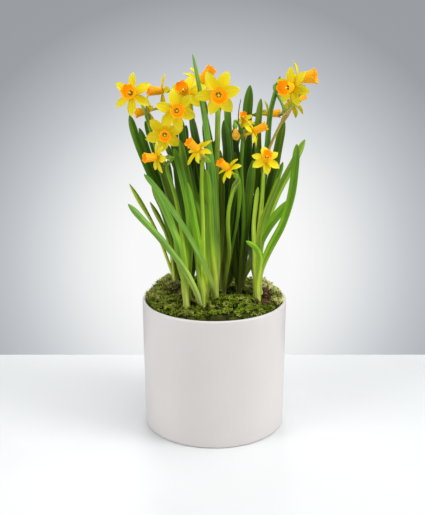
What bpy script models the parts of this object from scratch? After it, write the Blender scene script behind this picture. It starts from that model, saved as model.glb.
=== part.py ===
"""A potted dwarf daffodil: pot, soil, moss, bulbs, leafy shoots and blooms.

Lengths are written in millimetres and become metres where a mesh is made. The origin is the middle
of the pot's flat underside, +Z is up and the front is towards -Y.
"""

import math
from dataclasses import dataclass

import bmesh
import bpy
import numpy as np

TO_METRES = 0.001
GAP = 0.3
SHARP_ANGLE = math.radians(40)

# Pot
POT_HEIGHT = 137.0
POT_RADIUS = 75.0
POT_BASE_RADIUS = 73.8
POT_WALL = 3.6
POT_FLOOR = 6.0
POT_SIDES = 36
FOOT_ROUND = 2.5
CORNER_CUT = 5.0

# Soil, moss and bulbs
SOIL_TOP = 122.0
MOSS_EDGE = 135.0
MOSS_DOME = 3.0
MOSS_RINGS = (1.0, 0.96, 0.86, 0.68, 0.46, 0.22)
MOSS_SIDES = 28
MOSS_RADIUS = 70.7
MOSS_EDGE_POWER = 16
MOSS_MOUNDS = ((-50, 38, 10.5, 24.0), (52, 32, 8.0, 20.0), (20, -36, 8.0, 20.0))
BULB_FOOT = 62.0
BULB_RADIUS = 11.5
BULB_FOOT_RADIUS = 5.0
BULB_SHOULDER = 82.0
BULB_TIP = 96.0
BULB_SIDES = 6
NECK_RADIUS = 3.8
SHEATH_HALF_WIDTH = 3.6
SHEATH_HALF_DEPTH = 6.2
SHEATH_RISE = 8.0
SHEATH_SIDES = 6
LEAF_ROOM = 1.3
STALK_ROOM = 4.0
HOLE_SLACK = 0.6
MOSS_HOLE_SLACK = 1.1

# Leaves and stalks
LEAF_THICKNESS = 0.9
LEAF_STATIONS = 7
LEAF_OUTLINE = ((0, 0.15, 0.4, 0.8, 0.92, 1), (0.5, 0.7, 1, 1, 0.8, 0.28))
LEAF_TWIST = ((0, 0.15, 0.5, 1), (0, 0.25, 0.8, 1))
TAPER_SPAN = (0.35, 0.85)
STALK_RADIUS = 2.2
STALK_SIDES = 5
STALK_STATIONS = 6
STALK_TAPER = ((0, 1), (1.05, 0.9))
BUD_PROFILE = ((0, 0.55, 0.8, 0.93, 1), (1.8, 1.7, 2.6, 1.8, 0.4))
PEDICEL_RADIUS = 1.5
PEDICEL_STATIONS = 4
OVARY_RADIUS = 2.5
OVARY_LENGTH = 5.5
SPATHE_LENGTH = 15.0
SPATHE_WIDTHS = (2.5, 5.0, 0.8)
SPATHE_TURNS = (20, 20, 35)

# Room that leaves and stalks keep round what they pass, and how they are eased apart
CLEARANCE = 0.8
PEDICEL_ROOM = 2.4
TUBE_ROOM = ((-4, 2.6), (-8, 2.6), (-12, 2.6))
CUP_ROOM = ((3, 4.8), (9, 6.0), (15, 7.8))
PETAL_ROOM = (5.5, 5.0, 1.5)
SETTLE_ROUNDS = 500
SETTLE_SHARE = 0.9
SMOOTH_SHARE = 0.12
BEADS_PER_STATION = 4

# Blooms of size 1
PETAL_LENGTH = 21.0
PETAL_WIDTH = 11.4
PETAL_THICKNESS = 0.75
PETAL_STATIONS = (0.12, 0.46, 0.77, 1.0)
PETAL_WIDTHS = (0.42, 1.0, 0.82, 0.1)
PETAL_RISE = 1.6
PETAL_DROOP = 4.6
PETAL_LAYER_DROP = 0.95
TUBE_LENGTH = 13.0
TUBE_RADIUS = 1.9
HUB_RADIUS = 4.6
HUB_THICKNESS = 2.2
HUB_TOP = 0.6
CUP_LENGTH = 16.5
CUP_FOOT_RADIUS = 4.5
CUP_MOUTH_RADIUS = 7.0
CUP_WALL = 0.8
CUP_SIDES = 8
CUP_FRILL = 0.5
STYLE_RADIUS = 1.3
STYLE_LENGTH = 10.5
SPENT_PROFILE = ((3.0, -13.0), (5.6, -5.0), (7.4, 4.0), (3.8, 9.0), (1.2, 12.0))

# Places of leaves and blooms are drawn as seen from the front. They are millimetres across from the
# pot's middle and up from its mouth, in a plane square to the line of sight. Depth is the real y.
EYE = np.array([-1.9, -940.0, 456.0])
SIGHT_DOWN = math.radians(16.35)
SIGHT_PLANE = 948.0
SIGHT_ZERO = (2.5, -42.5)
AHEAD = np.array([0.0, math.cos(SIGHT_DOWN), -math.sin(SIGHT_DOWN)])
RIGHTWARD = np.array([1.0, 0.0, 0.0])
UPWARD = np.array([0.0, math.sin(SIGHT_DOWN), math.cos(SIGHT_DOWN)])


@dataclass
class Shoot:
    """A bulb and where its sheath comes through the moss, seen from above."""

    name: str
    bulb: tuple
    surface: tuple


@dataclass
class Leaf:
    """A strap leaf: its width as seen, its turn from facing the front, and its way to the tip. A third
    number in the way is a depth. The taper is the share of its width that is left near the tip."""

    shoot: str
    width: float
    turn: float
    tip_depth: float
    way: list
    taper: float = 1.0


@dataclass
class Stalk:
    """A flower stalk: its way up to the fork, the depth there and the blooms or bud it carries. The tip
    of its spathe may be given from the fork: across, up and back."""

    shoot: str
    fork_depth: float
    way: list
    heads: tuple
    radius: float = STALK_RADIUS
    spathe: tuple = ()


@dataclass
class Bloom:
    """A bloom: its hub, the way it faces, in degrees from the front and up, its size, its roll, and how
    broad its petals and how wide its cup's mouth are against the others'."""

    name: str
    hub: tuple
    depth: float
    facing: float
    lift: float
    size: float
    roll: float = 0.0
    breadth: float = 1.0
    mouth: float = 1.0


SHOOTS = [
    Shoot("back_left", (-42, 30), (-42, 27)),
    Shoot("left", (-28, 0), (-27, 1)),
    Shoot("front_left", (-34, -38), (-28, -38)),
    Shoot("front", (-8, -42), (-12, -36)),
    Shoot("middle", (-3, -13), (1, -15)),
    Shoot("centre", (8, 14), (9, 6)),
    Shoot("right_of_centre", (33, 18), (26, 14)),
    Shoot("right", (44, -25), (44, -21)),
    Shoot("right_back", (55, 2), (47, -3)),
    Shoot("back", (2, 46), (1, 44)),
]

LEAVES = [
    Leaf("back_left", 8, 20, 5, [(-43, 60), (-49, 85), (-57, 110), (-68, 135), (-77, 157), (-85.5, 185)]),
    Leaf("back_left", 7, 45, 18, [(-39, 60), (-45, 85), (-52, 107), (-58, 122), (-65, 140), (-76, 172)]),
    Leaf("back_left", 8, -50, 60, [(-41, 55), (-47, 80), (-55, 100), (-63, 117)]),
    Leaf("back_left", 8, 40, 75, [(-37, 60), (-35, 100), (-33, 135), (-31, 160)]),
    Leaf("back_left", 8.5, -35, 34, [(-40, 50), (-42, 80), (-45, 110), (-47, 140)]),
    Leaf("left", 7, 40, 8, [(-33, 60), (-39, 85), (-45, 105), (-52, 125), (-60, 148), (-70, 179)]),
    Leaf("left", 8, -35, 12, [(-31, 65), (-34, 95), (-37, 125), (-40, 150), (-43, 172)]),
    Leaf("left", 8, 50, 30, [(-27, 60), (-29, 90), (-31, 120), (-32, 150), (-29, 175)]),
    Leaf("left", 8, -20, -4, [(-34, 60), (-41, 88), (-48, 112), (-57, 150)]),
    Leaf("left", 7, 55, 24, [(-25, 60), (-24, 95), (-25, 130), (-24, 160)]),
    Leaf("left", 8, 30, 20, [(-24.5, 24), (-20.5, 45), (-17, 70), (-15, 105)]),
    Leaf("front_left", 7, 30, -34, [(-33, 38), (-38, 60), (-45, 78), (-52, 95), (-63, 116)]),
    Leaf("front_left", 7, -40, -24, [(-26, 38), (-25, 65), (-27, 95), (-32, 120), (-41, 152)]),
    Leaf("front_left", 8, 35, -10, [(-30, 45), (-35, 70), (-41, 92), (-47, 112), (-54, 135)]),
    Leaf("front", 6.2, 15, -66, [(-17, 5), (-25, 21, -50), (-35, 37), (-55, 62), (-77, 85), (-87, 96)]),
    Leaf("front", 4, 0, -46, [(-13, 2), (-15, 15), (-18, 38)]),
    Leaf("front", 8, 40, -10, [(-11, 38), (-13, 60), (-16, 82), (-20, 102), (-30, 140), (-34, 182)]),
    Leaf("front", 7, -45, -20, [(-18, 50), (-22, 85), (-26, 110), (-31, 135), (-35, 160)]),
    Leaf("front", 7, 25, -38, [(-15, 45), (-19, 70), (-23, 92), (-28, 118)]),
    Leaf("front", 6, 25, -26, [(-7, 14), (-8, 40), (-10, 70), (-11, 98)]),
    Leaf("middle", 4.8, 15, -64, [(-1, 5), (-5, 22, -38), (-18, 50, -50), (-35, 79), (-53, 105), (-71, 126)]),
    Leaf("middle", 9.5, 20, -28, [(-2, 30), (-5, 60), (-6, 85), (-7, 108), (-9, 131)]),
    Leaf("middle", 9.5, 58, -25, [(-1, 60), (-2, 95), (-4, 135), (-11.5, 185), (-16.5, 214), (-22.6, 246)],
         taper=0.4),
    Leaf("middle", 8, 45, 4, [(-7, 65), (-9, 95), (-13, 120), (-17, 145), (-24.5, 186)]),
    Leaf("middle", 8, -40, 0, [(4, 45), (6, 80), (6, 115), (5, 150)]),
    Leaf("centre", 9, 30, 6, [(9, 38), (10, 75), (12, 110), (13, 140), (11, 162), (9, 180)]),
    Leaf("centre", 9, -40, 40, [(7, 45), (5, 85), (2, 125), (0, 160)]),
    Leaf("centre", 8.5, 45, 20, [(14, 45), (17, 80), (19, 115), (20, 148)]),
    Leaf("centre", 8, -25, -2, [(10, 40), (13, 70), (17, 100), (18, 128)]),
    Leaf("centre", 7, 20, 27, [(14.5, 20), (19, 42), (20.5, 75), (19, 112)]),
    Leaf("right_of_centre", 7.5, 25, 8, [(21, 38), (20.5, 65), (19, 95), (16, 130), (14, 155), (12, 203)]),
    Leaf("right_of_centre", 10.5, 15, 24, [(26, 30), (30, 60), (33, 95), (31.5, 172), (35, 215)]),
    Leaf("right_of_centre", 8, -50, 38, [(23, 30), (24, 65), (25, 100), (23, 130), (19, 172)]),
    Leaf("right_of_centre", 8, 45, 62, [(27, 38), (37, 70), (47, 95), (55, 112)]),
    Leaf("right_of_centre", 8.5, 30, 0, [(29, 40), (31, 75), (35, 110), (38, 140)]),
    Leaf("right_of_centre", 8, 20, 26, [(31, 20), (35.5, 38), (38, 60), (38, 105)]),
    Leaf("right", 5.5, 20, -50, [(42, 15), (44.5, 32), (45, 44), (41, 52), (31, 59)]),
    Leaf("right", 7.5, -25, -42, [(42.5, 10), (45, 30), (51, 45), (69, 80), (78, 115), (82, 156)]),
    Leaf("right", 9.5, 30, -26, [(42, 30), (43, 50), (47, 64), (55, 76), (74, 100)]),
    Leaf("right", 5, -35, -34, [(44, 60), (47, 78), (53, 95), (65, 124)]),
    Leaf("right", 4, 30, -38, [(39, 65), (40, 85), (41.5, 100), (43, 113)]),
    Leaf("right_back", 6.8, -30, 14, [(41, 38), (40, 65), (42, 100), (44, 135), (43, 180), (46, 201.5)]),
    Leaf("right_back", 7.5, 40, -6, [(43, 20), (45, 45), (48, 65), (61, 102), (79, 137), (90, 160.5)]),
    Leaf("right_back", 9, -20, 18, [(41, 30), (43, 60), (47, 80), (57, 120), (63, 150), (69, 181)]),
    Leaf("right_back", 7, 60, 30, [(42, 50), (44, 80), (49, 125), (54, 180), (58, 205), (65, 224)],
         taper=0.7),
    Leaf("right_back", 5, 35, -12, [(47, 75), (52, 90), (58, 107), (64, 125), (68, 138)]),
    Leaf("right_back", 7, 20, 22, [(41, 22), (37, 45), (36, 65), (34, 95)]),
    Leaf("back", 8, 30, 60, [(-9, 45), (-16, 90), (-21, 130), (-24, 160)]),
    Leaf("back", 8, -35, 56, [(9, 45), (16, 90), (22, 130), (27, 150)]),
    Leaf("back", 8.5, 20, 74, [(-1, 50), (-3, 100), (-6, 140), (-11, 180)]),
    Leaf("back", 8, -30, 80, [(3, 50), (9, 100), (17, 140), (25, 172)]),
    Leaf("back", 6.5, 45, 90, [(-5, 40), (-15, 75), (-25, 105), (-29, 135)]),
    Leaf("back", 6.5, -45, 92, [(7, 40), (20, 75), (35, 105), (47, 125)]),
]

BLOOMS = [
    Bloom("01", (-83, 206), -24, -9, 14, 1.0, -4, breadth=0.74, mouth=0.95),
    Bloom("02", (-67, 189.5), 2, -75, -10, 0.74, 0, breadth=0.8, mouth=0.9),
    Bloom("03", (-53, 209), 8, -68, 4, 0.82, 10, breadth=0.75, mouth=0.9),
    Bloom("04", (-28, 206), -4, -20, 30, 1.0, 0, breadth=0.95, mouth=0.85),
    Bloom("05", (-39, 189.5), -32, 7, 6, 0.98, -12, mouth=0.94),
    Bloom("06", (-50.5, 166.5), -22, 4, -2, 0.95, 11, mouth=0.75),
    Bloom("07", (-58, 142.5), -44, -60, 4, 0.76, 30, breadth=0.85, mouth=0.85),
    Bloom("08", (-17, 149.5), -44, -60, 42, 0.8, 20, breadth=0.75, mouth=0.8),
    Bloom("09", (3, 206.5), -36, 3, -2, 1.08, -36),
    Bloom("10", (-14, 219), 30, 66, 46, 1.0, 20, breadth=0.8, mouth=0.75),
    Bloom("11", (77, 213), -30, -36, 2, 0.93, -16, breadth=0.85, mouth=1.03),
    Bloom("12", (84, 221), 20, 74, 12, 1.0, -12, breadth=0.75, mouth=1.05),
    Bloom("13", (78, 197), 44, 130, 30, 0.85, 0, breadth=0.8),
    Bloom("14", (53, 186), 34, 100, 2, 0.7, 30, breadth=0.8, mouth=0.85),
    Bloom("15", (29.5, 179), 15, -15, 50, 0.56, 30, breadth=0.9, mouth=0.9),
    Bloom("16", (38.5, 168.5), -20, 78, 26, 0.78, 0, breadth=0.8, mouth=0.75),
    Bloom("17", (51.2, 140), -44, 3, 36, 0.72, 0, mouth=0.9),
    Bloom("18", (13, 131), -42, -60, 40, 0.68, 0, breadth=0.85, mouth=0.9),
    Bloom("spent", (21, 165), -22, 10, -55, 0.5),
]

STALKS = [
    Stalk("left", -10, [(-37, 38), (-40, 65), (-44, 95), (-51, 122), (-58, 148), (-67, 179, -13)], ("01",)),
    Stalk("left", 14, [(-33, 50), (-34, 85), (-36, 120), (-38, 150), (-40, 190)], ("03", "02")),
    Stalk("back", 14, [(-5, 60), (-10, 100), (-16, 140), (-21, 175), (-24, 192)], ("04",),
          spathe=(-6, 9, 8)),
    Stalk("front", -2, [(-13, 40), (-16, 75), (-21, 105), (-28, 140), (-34, 168)], ("05",)),
    Stalk("front_left", 0, [(-26, 30), (-26, 62), (-28, 87), (-37, 125), (-46, 148)], ("06",)),
    Stalk("front_left", -30, [(-29, 25), (-32, 55), (-36, 85), (-42, 112), (-48, 130)], ("07",)),
    Stalk("front", -32, [(-12, 35), (-12, 70), (-13, 100), (-14, 125), (-13, 137)], ("08",)),
    Stalk("middle", -16, [(2.5, 20), (2.5, 60), (1, 100), (2, 140), (2.5, 172), (3, 188)], ("09",), 2.8),
    Stalk("centre", 14, [(8, 40), (6, 80), (2, 120), (-4, 160), (-10, 188)], ("10",)),
    Stalk("right_back", 2, [(43, 35), (43, 70), (46, 100), (52, 143), (61, 169), (68, 181)],
          ("11", "12", "13"), 1.5, spathe=(10, 13, -6)),
    Stalk("right_of_centre", 30, [(27, 30), (31, 60), (35, 95), (38, 130), (40, 164)], ("14",)),
    Stalk("right_of_centre", -8, [(26, 12), (28, 65), (28, 95), (26, 135), (28, 163)],
          ("15", "16", "spent"), spathe=(7, 11, -4)),
    Stalk("right", -30, [(41, 25), (42, 55), (45, 80), (47, 100), (48, 124)], ("17",)),
    Stalk("centre", -34, [(14, 40), (13.5, 60), (13, 80), (14.5, 96), (18, 110)], ("18",)),
    Stalk("back_left", 8, [(-45, 34), (-51, 50), (-59, 70), (-70, 90), (-85.5, 116)], ("bud",)),
    Stalk("back_left", 2, [(-43, 42), (-47, 60), (-53, 76), (-65, 98)], ("bud",)),
    Stalk("middle", -22, [(-8, 40), (-12, 70), (-14, 100), (-15, 112)], ("bud",)),
    Stalk("centre", -14, [(15, 40), (20, 70), (25, 100), (22, 124), (19, 138)], ("bud",)),
]


def unit(vector):
    return vector / np.linalg.norm(vector)


def place(across, up, depth):
    """The point at this depth that the front view shows at (across, up)."""
    ray = AHEAD * SIGHT_PLANE + RIGHTWARD * (across + SIGHT_ZERO[0]) + UPWARD * (up + SIGHT_ZERO[1])
    return EYE + ray * ((depth - EYE[1]) / ray[1])


def seen(point):
    """Where the front view shows a point: (across, up)."""
    way = np.asarray(point, float) - EYE
    scale = SIGHT_PLANE / (way @ AHEAD)
    return way @ RIGHTWARD * scale - SIGHT_ZERO[0], way @ UPWARD * scale - SIGHT_ZERO[1]


def through(points, count):
    """Evenly spaced points along a smooth curve through the given ones."""
    points = np.array(points, float)
    padded = np.vstack([2 * points[0] - points[1], points, 2 * points[-1] - points[-2]])
    fine = []
    for a, b, c, d in zip(padded, padded[1:], padded[2:], padded[3:]):
        for t in np.linspace(0, 1, 12, endpoint=False):
            bend = (2 * a - 5 * b + 4 * c - d) * t**2 + (3 * b - a - 3 * c + d) * t**3
            fine.append(0.5 * (2 * b + (c - a) * t + bend))
    fine = np.array(fine + [points[-1]])
    steps = np.linalg.norm(np.diff(fine, axis=0), axis=1)
    run = np.concatenate([[0], np.cumsum(steps)])
    at = np.linspace(0, run[-1], count)
    return np.stack([np.interp(at, run, column) for column in fine.T], axis=1)


def moss_height(x, y):
    """The moss's top: a low dome that drops to its edge, with mounds at the back and small lumps."""
    out = min(math.hypot(x, y) / MOSS_RADIUS, 1.0)
    rise = MOSS_DOME + 0.9 * math.sin(x / 5.3 + 0.6) * math.cos(y / 4.9)
    rise += 0.6 * math.sin(x / 2.9 - y / 3.7)
    for across, back, height, spread in MOSS_MOUNDS:
        rise += height * math.exp(-((x - across) ** 2 + (y - back) ** 2) / spread**2)
    return MOSS_EDGE + rise * (1 - out**MOSS_EDGE_POWER)


def loft(rings, fan=False):
    """Vertices and faces of a closed skin over rings of equal length. The last ring may end in a fan."""
    count = len(rings[0])
    points = [p for ring in rings for p in ring]
    last = (len(rings) - 1) * count
    faces = [tuple(reversed(range(count)))]
    if fan:
        points.append(np.mean(rings[-1], axis=0))
        faces += [(last + count, last + k, last + (k + 1) % count) for k in range(count)]
    else:
        faces.append(tuple(range(last, last + count)))
    for k in range(count):
        after = (k + 1) % count
        for base in range(0, last, count):
            faces.append((base + k, base + after, base + count + after))
            faces.append((base + k, base + count + after, base + count + k))
    return points, faces


def blade_skin(sections):
    """A blade over sections of (left low, right low, right high, left high), split alike on both faces."""
    points = [p for section in sections for p in section]
    faces = []
    for a in range(0, len(points) - 4, 4):
        b = a + 4
        faces += [(a, a + 1, b + 1), (a, b + 1, b), (a + 1, a + 2, b + 2), (a + 1, b + 2, b + 1)]
        faces += [(a + 3, b + 2, a + 2), (a + 3, b + 3, b + 2), (a, b, b + 3), (a, b + 3, a + 3)]
    end = len(points) - 4
    faces += [(0, 3, 2), (0, 2, 1), (end, end + 1, end + 2), (end, end + 2, end + 3)]
    return points, faces


def turned(profile, sides, middle=(0.0, 0.0)):
    """Rings round a vertical line, one for each (radius, height) of the profile."""
    angles = [2 * math.pi * k / sides for k in range(sides)]
    x, y = middle
    return [
        [np.array([x + radius * math.cos(a), y + radius * math.sin(a), height]) for a in angles]
        for radius, height in profile
    ]


def frames(line):
    """Along a line of points: the direction and two directions square to it, carried without twist."""
    line = np.asarray(line)
    ahead = np.gradient(line, axis=0)
    side = np.array([1.0, 0.0, 0.0]) if abs(unit(ahead[0])[0]) < 0.9 else np.array([0.0, 1.0, 0.0])
    found = []
    for direction in ahead:
        direction = unit(direction)
        side = unit(side - direction * (side @ direction))
        found.append((direction, side, np.cross(direction, side)))
    return found


def tube(line, radii, sides):
    """A round tube along a line of points."""
    rings = []
    for point, radius, (_, side, other) in zip(line, radii, frames(line)):
        angles = [2 * math.pi * k / sides for k in range(sides)]
        rings.append([point + radius * (side * math.cos(a) + other * math.sin(a)) for a in angles])
    return loft(rings)


def blade(line, widths, turns, thickness=LEAF_THICKNESS):
    """A flat blade along a line, facing the front where its turn is 0 and edge on at 90 degrees."""
    sections = []
    for point, width, turn, (ahead, _, _) in zip(line, widths, turns, frames(line)):
        front = unit(EYE - point)
        face = unit(front - ahead * (front @ ahead))
        across = np.cross(face, ahead)
        angle = math.radians(turn)
        out = (across * math.cos(angle) + face * math.sin(angle)) * width / 2
        high = (face * math.cos(angle) - across * math.sin(angle)) * thickness / 2
        sections.append([point - out - high, point + out - high, point + out + high, point - out + high])
    return blade_skin(sections)


def make_mesh(name, shape):
    """A mesh in metres with its faces turned outwards."""
    points, faces = shape
    mesh = bpy.data.meshes.new(name)
    mesh.from_pydata([tuple(p * TO_METRES) for p in np.asarray(points)], [], faces)
    edit = bmesh.new()
    edit.from_mesh(mesh)
    bmesh.ops.recalc_face_normals(edit, faces=edit.faces)
    if edit.calc_volume(signed=True) < 0:
        bmesh.ops.reverse_faces(edit, faces=edit.faces)
    edit.to_mesh(mesh)
    edit.free()
    return mesh


def make_object(name, shape, material=None):
    """A new object in the scene, shaded smooth but for its sharp edges."""
    mesh = make_mesh(name, shape)
    mesh.shade_smooth()
    mesh.set_sharp_from_angle(angle=SHARP_ANGLE)
    made = bpy.data.objects.new(name, mesh)
    bpy.context.scene.collection.objects.link(made)
    if material:
        mesh.materials.append(material)
    return made


def apply_boolean(base, others, operation, solver="EXACT"):
    """Joins or cuts the other shapes with one Boolean on a collection, then removes them."""
    group = bpy.data.collections.new(base.name + "_tools")
    bpy.context.scene.collection.children.link(group)
    for other in others:
        bpy.context.scene.collection.objects.unlink(other)
        group.objects.link(other)
    modifier = base.modifiers.new("join", "BOOLEAN")
    modifier.operation = operation
    modifier.operand_type = "COLLECTION"
    modifier.collection = group
    modifier.solver = solver
    graph = bpy.context.evaluated_depsgraph_get()
    joined = bpy.data.meshes.new_from_object(base.evaluated_get(graph))
    base.modifiers.clear()
    materials = list(base.data.materials)
    base.data = joined
    joined.materials.clear()
    for material in materials:
        joined.materials.append(material)
    for polygon in joined.polygons:
        polygon.material_index = 0
    joined.shade_smooth()
    joined.set_sharp_from_angle(angle=SHARP_ANGLE)
    for other in others:
        bpy.data.objects.remove(other)
    bpy.data.collections.remove(group)


def keep_largest_piece(thing):
    """Drops loose scraps that a union can leave."""
    edit = bmesh.new()
    edit.from_mesh(thing.data)
    left = set(edit.faces)
    pieces = []
    while left:
        piece = set()
        fringe = [left.pop()]
        while fringe:
            face = fringe.pop()
            piece.add(face)
            near = {other for edge in face.edges for other in edge.link_faces} & left
            left -= near
            fringe += near
        pieces.append(piece)
    pieces.sort(key=len)
    loose = [face for piece in pieces[:-1] for face in piece]
    if loose:
        bmesh.ops.delete(edit, geom=loose, context="FACES")
    edit.to_mesh(thing.data)
    edit.free()


def paint(name, colour, roughness):
    material = bpy.data.materials.new(name)
    material.use_nodes = True
    shader = material.node_tree.nodes["Principled BSDF"]
    shader.inputs["Base Color"].default_value = (*colour, 1.0)
    shader.inputs["Roughness"].default_value = roughness
    return material


def aim_of(bloom):
    """The direction that a bloom faces."""
    turn, lift = math.radians(bloom.facing), math.radians(bloom.lift)
    level = math.cos(lift)
    return np.array([math.sin(turn) * level, -math.cos(turn) * level, math.sin(lift)])


def bloom_frame(bloom):
    """A bloom's hub, its axis, and its up and side directions, turned by its roll."""
    axis = aim_of(bloom)
    up = np.array([0.0, 0.0, 1.0]) if abs(axis[2]) < 0.95 else np.array([0.0, 1.0, 0.0])
    up = unit(up - axis * (up @ axis))
    side = np.cross(up, axis)
    roll = math.radians(bloom.roll)
    hub = place(*bloom.hub, bloom.depth)
    turned_up = up * math.cos(roll) + side * math.sin(roll)
    return hub, axis, turned_up, np.cross(turned_up, axis)


def petal_lines(bloom):
    """For each petal: its middle line, its side direction and its normal at each station."""
    hub, axis, up, side = bloom_frame(bloom)
    lines = []
    for k in range(6):
        angle = math.pi * k / 3
        out = up * math.cos(angle) + side * math.sin(angle)
        layer = -PETAL_LAYER_DROP * (k % 2)
        line = []
        for s in PETAL_STATIONS:
            rise = layer + (PETAL_RISE * s - PETAL_DROOP * s**2) * bloom.size
            line.append(hub + out * s * PETAL_LENGTH * bloom.size + axis * rise)
        lines.append((np.array(line), np.cross(axis, out), axis))
    return lines


def petal(line, side, axis, width):
    sections = []
    for point, share in zip(line, PETAL_WIDTHS):
        out = side * share * width / 2
        high = axis * PETAL_THICKNESS / 2
        sections.append([point - out - high, point + out - high, point + out + high, point - out + high])
    return blade_skin(sections)


def rings_on(bloom, stations, sides, phase=0.0):
    """Rings round a bloom's axis, one for each (radius, height, frill). A frill waves the ring."""
    hub, axis, up, side = bloom_frame(bloom)
    rings = []
    for radius, height, frill in stations:
        ring = []
        for k in range(sides):
            angle = 2 * math.pi * (k + phase) / sides
            wave = frill * (-1) ** k
            out = (up * math.cos(angle) + side * math.sin(angle)) * (radius + wave)
            ring.append(hub + out + axis * (height - wave))
        rings.append(ring)
    return loft(rings)


def hub_and_tube(bloom):
    """The tube behind the petals, opening into the hub that they spring from."""
    narrow = min(bloom.size, 1.0)
    stations = [
        (TUBE_RADIUS * narrow, -TUBE_LENGTH * bloom.size, 0),
        (HUB_RADIUS * 0.7 * narrow, -HUB_THICKNESS, 0),
        (HUB_RADIUS * narrow, HUB_TOP, 0),
    ]
    return rings_on(bloom, stations, 6)


def cup(bloom):
    """The orange cup: a frilled wall round a hollow with the style standing in it."""
    foot = HUB_TOP + GAP
    rim = foot + CUP_LENGTH * bloom.size
    foot_radius = CUP_FOOT_RADIUS * bloom.size
    mouth_radius = CUP_MOUTH_RADIUS * bloom.size * bloom.mouth
    stations = [
        (foot_radius, foot, 0),
        (mouth_radius, rim, CUP_FRILL),
        (mouth_radius - CUP_WALL, rim + 0.3, CUP_FRILL),
        (foot_radius - CUP_WALL, foot + 1.2, 0),
        (STYLE_RADIUS, foot + 1.7, 0),
        (STYLE_RADIUS, foot + STYLE_LENGTH * bloom.size, 0),
    ]
    return rings_on(bloom, stations, CUP_SIDES)


def spent_bloom(bloom):
    """A withered bloom that has closed and hangs from its stalk."""
    stations = [(radius * bloom.size, height * bloom.size, 0) for radius, height in SPENT_PROFILE]
    return rings_on(bloom, stations, 6)


def make_bloom(bloom, yellow, orange):
    """The perianth, as one yellow node, and the cup, as one orange node."""
    perianth = make_object(f"bloom_{bloom.name}_petals", hub_and_tube(bloom), yellow)
    petals = []
    width = PETAL_WIDTH * bloom.size * bloom.breadth
    for k, (line, side, axis) in enumerate(petal_lines(bloom)):
        petals.append(make_object(f"petal_{k}", petal(line, side, axis, width)))
    apply_boolean(perianth, petals, "UNION")
    keep_largest_piece(perianth)
    make_object(f"bloom_{bloom.name}_cup", cup(bloom), orange)


@dataclass
class Strand:
    """A leaf or stalk by its stations in the front view. A held one ends in blooms, which stay put."""

    shoot: str
    across: np.ndarray
    up: np.ndarray
    depth: np.ndarray
    widths: np.ndarray
    turns: np.ndarray
    held: bool
    round: bool = False

    def line(self):
        return np.array([place(*station) for station in zip(self.across, self.up, self.depth)])


def shoot_line(shoot):
    """The middle of a shoot's sheath: at the bulb's tip, near the soil's top and where the leaves part."""
    x, y = shoot.surface
    return np.array([
        [*shoot.bulb, BULB_TIP + GAP],
        [x, y, SOIL_TOP - 4.0],
        [x, y, moss_height(x, y) + SHEATH_RISE],
    ])


def root_layers(plans):
    """For each leaf and stalk, how far behind the middle of its sheath it stands: those that end in front
    stand in front, so that none crosses another."""
    layers = {}
    for shoot in SHOOTS:
        own = sorted((plan for plan in plans if plan.shoot == shoot.name), key=end_depth)
        rooms = [LEAF_ROOM if isinstance(plan, Leaf) else STALK_ROOM for plan in own]
        squeeze = min(1.0, 2 * (SHEATH_HALF_DEPTH - 0.5) / sum(rooms))
        start = -sum(rooms) / 2
        for plan, room in zip(own, rooms):
            layers[id(plan)] = (start + room / 2) * squeeze
            start += room
    return layers


def end_depth(plan):
    return plan.tip_depth if isinstance(plan, Leaf) else plan.fork_depth


def stations_of(shoot, layer, way, last_depth, count):
    """Stations (across, up, depth) from inside the sheath to the end of a drawn way."""
    aside = np.array([0.0, layer, 0.0])
    top = shoot_line(shoot)[-1]
    root = top + aside * 0.9 - np.array([0.0, 0.0, SHEATH_RISE - 1.0])
    leave = top + aside + np.array([0.0, 0.0, 1.0])
    start = [(*seen(root), root[1]), (*seen(leave), leave[1])]
    way = [point for point in way if point[1] > start[1][1] + 4]
    route = np.array([point[:2] for point in start + way])
    run = np.concatenate([[0], np.cumsum(np.linalg.norm(np.diff(route, axis=0), axis=1))])
    known = [(run[0], root[1]), (run[1], leave[1])]
    known += [(run[k + 2], point[2]) for k, point in enumerate(way) if len(point) > 2]
    known.append((run[-1], last_depth))
    depths = np.interp(run, [at for at, _ in known], [depth for _, depth in known])
    return through(np.column_stack([route, depths]), count)


def leaf_strand(leaf, shoot, layer):
    stations = stations_of(shoot, layer, leaf.way, leaf.tip_depth, LEAF_STATIONS)
    s = np.linspace(0, 1, LEAF_STATIONS)
    turns = leaf.turn * np.interp(s, *LEAF_TWIST)
    widths = leaf.width * np.interp(s, *LEAF_OUTLINE) / np.cos(np.radians(turns))
    widths *= np.interp(s, TAPER_SPAN, (1, leaf.taper))
    return Strand(leaf.shoot, *stations.T, widths, turns, held=False)


def stalk_strand(stalk, shoot, layer):
    stations = stations_of(shoot, layer, stalk.way, stalk.fork_depth, STALK_STATIONS)
    s = np.linspace(0, 1, STALK_STATIONS)
    blooms = stalk.heads != ("bud",)
    radii = stalk.radius * np.interp(s, *STALK_TAPER) if blooms else np.interp(s, *BUD_PROFILE)
    return Strand(stalk.shoot, *stations.T, 2 * radii, np.zeros(STALK_STATIONS), held=blooms, round=True)


def pedicel_line(start, direction, end, aim):
    """From the fork to the foot of a bloom's tube, ending straight along the bloom's axis."""
    neck = end - aim * OVARY_LENGTH
    reach = 0.5 * np.linalg.norm(neck - start)
    bend = [start, start + direction * reach, neck - aim * reach, neck]
    line = []
    for t in np.linspace(0, 1, PEDICEL_STATIONS):
        weights = ((1 - t) ** 3, 3 * t * (1 - t) ** 2, 3 * t**2 * (1 - t), t**3)
        line.append(sum(weight * point for weight, point in zip(weights, bend)))
    line += [neck + aim * OVARY_LENGTH * 0.5, end]
    return np.array(line)


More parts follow.
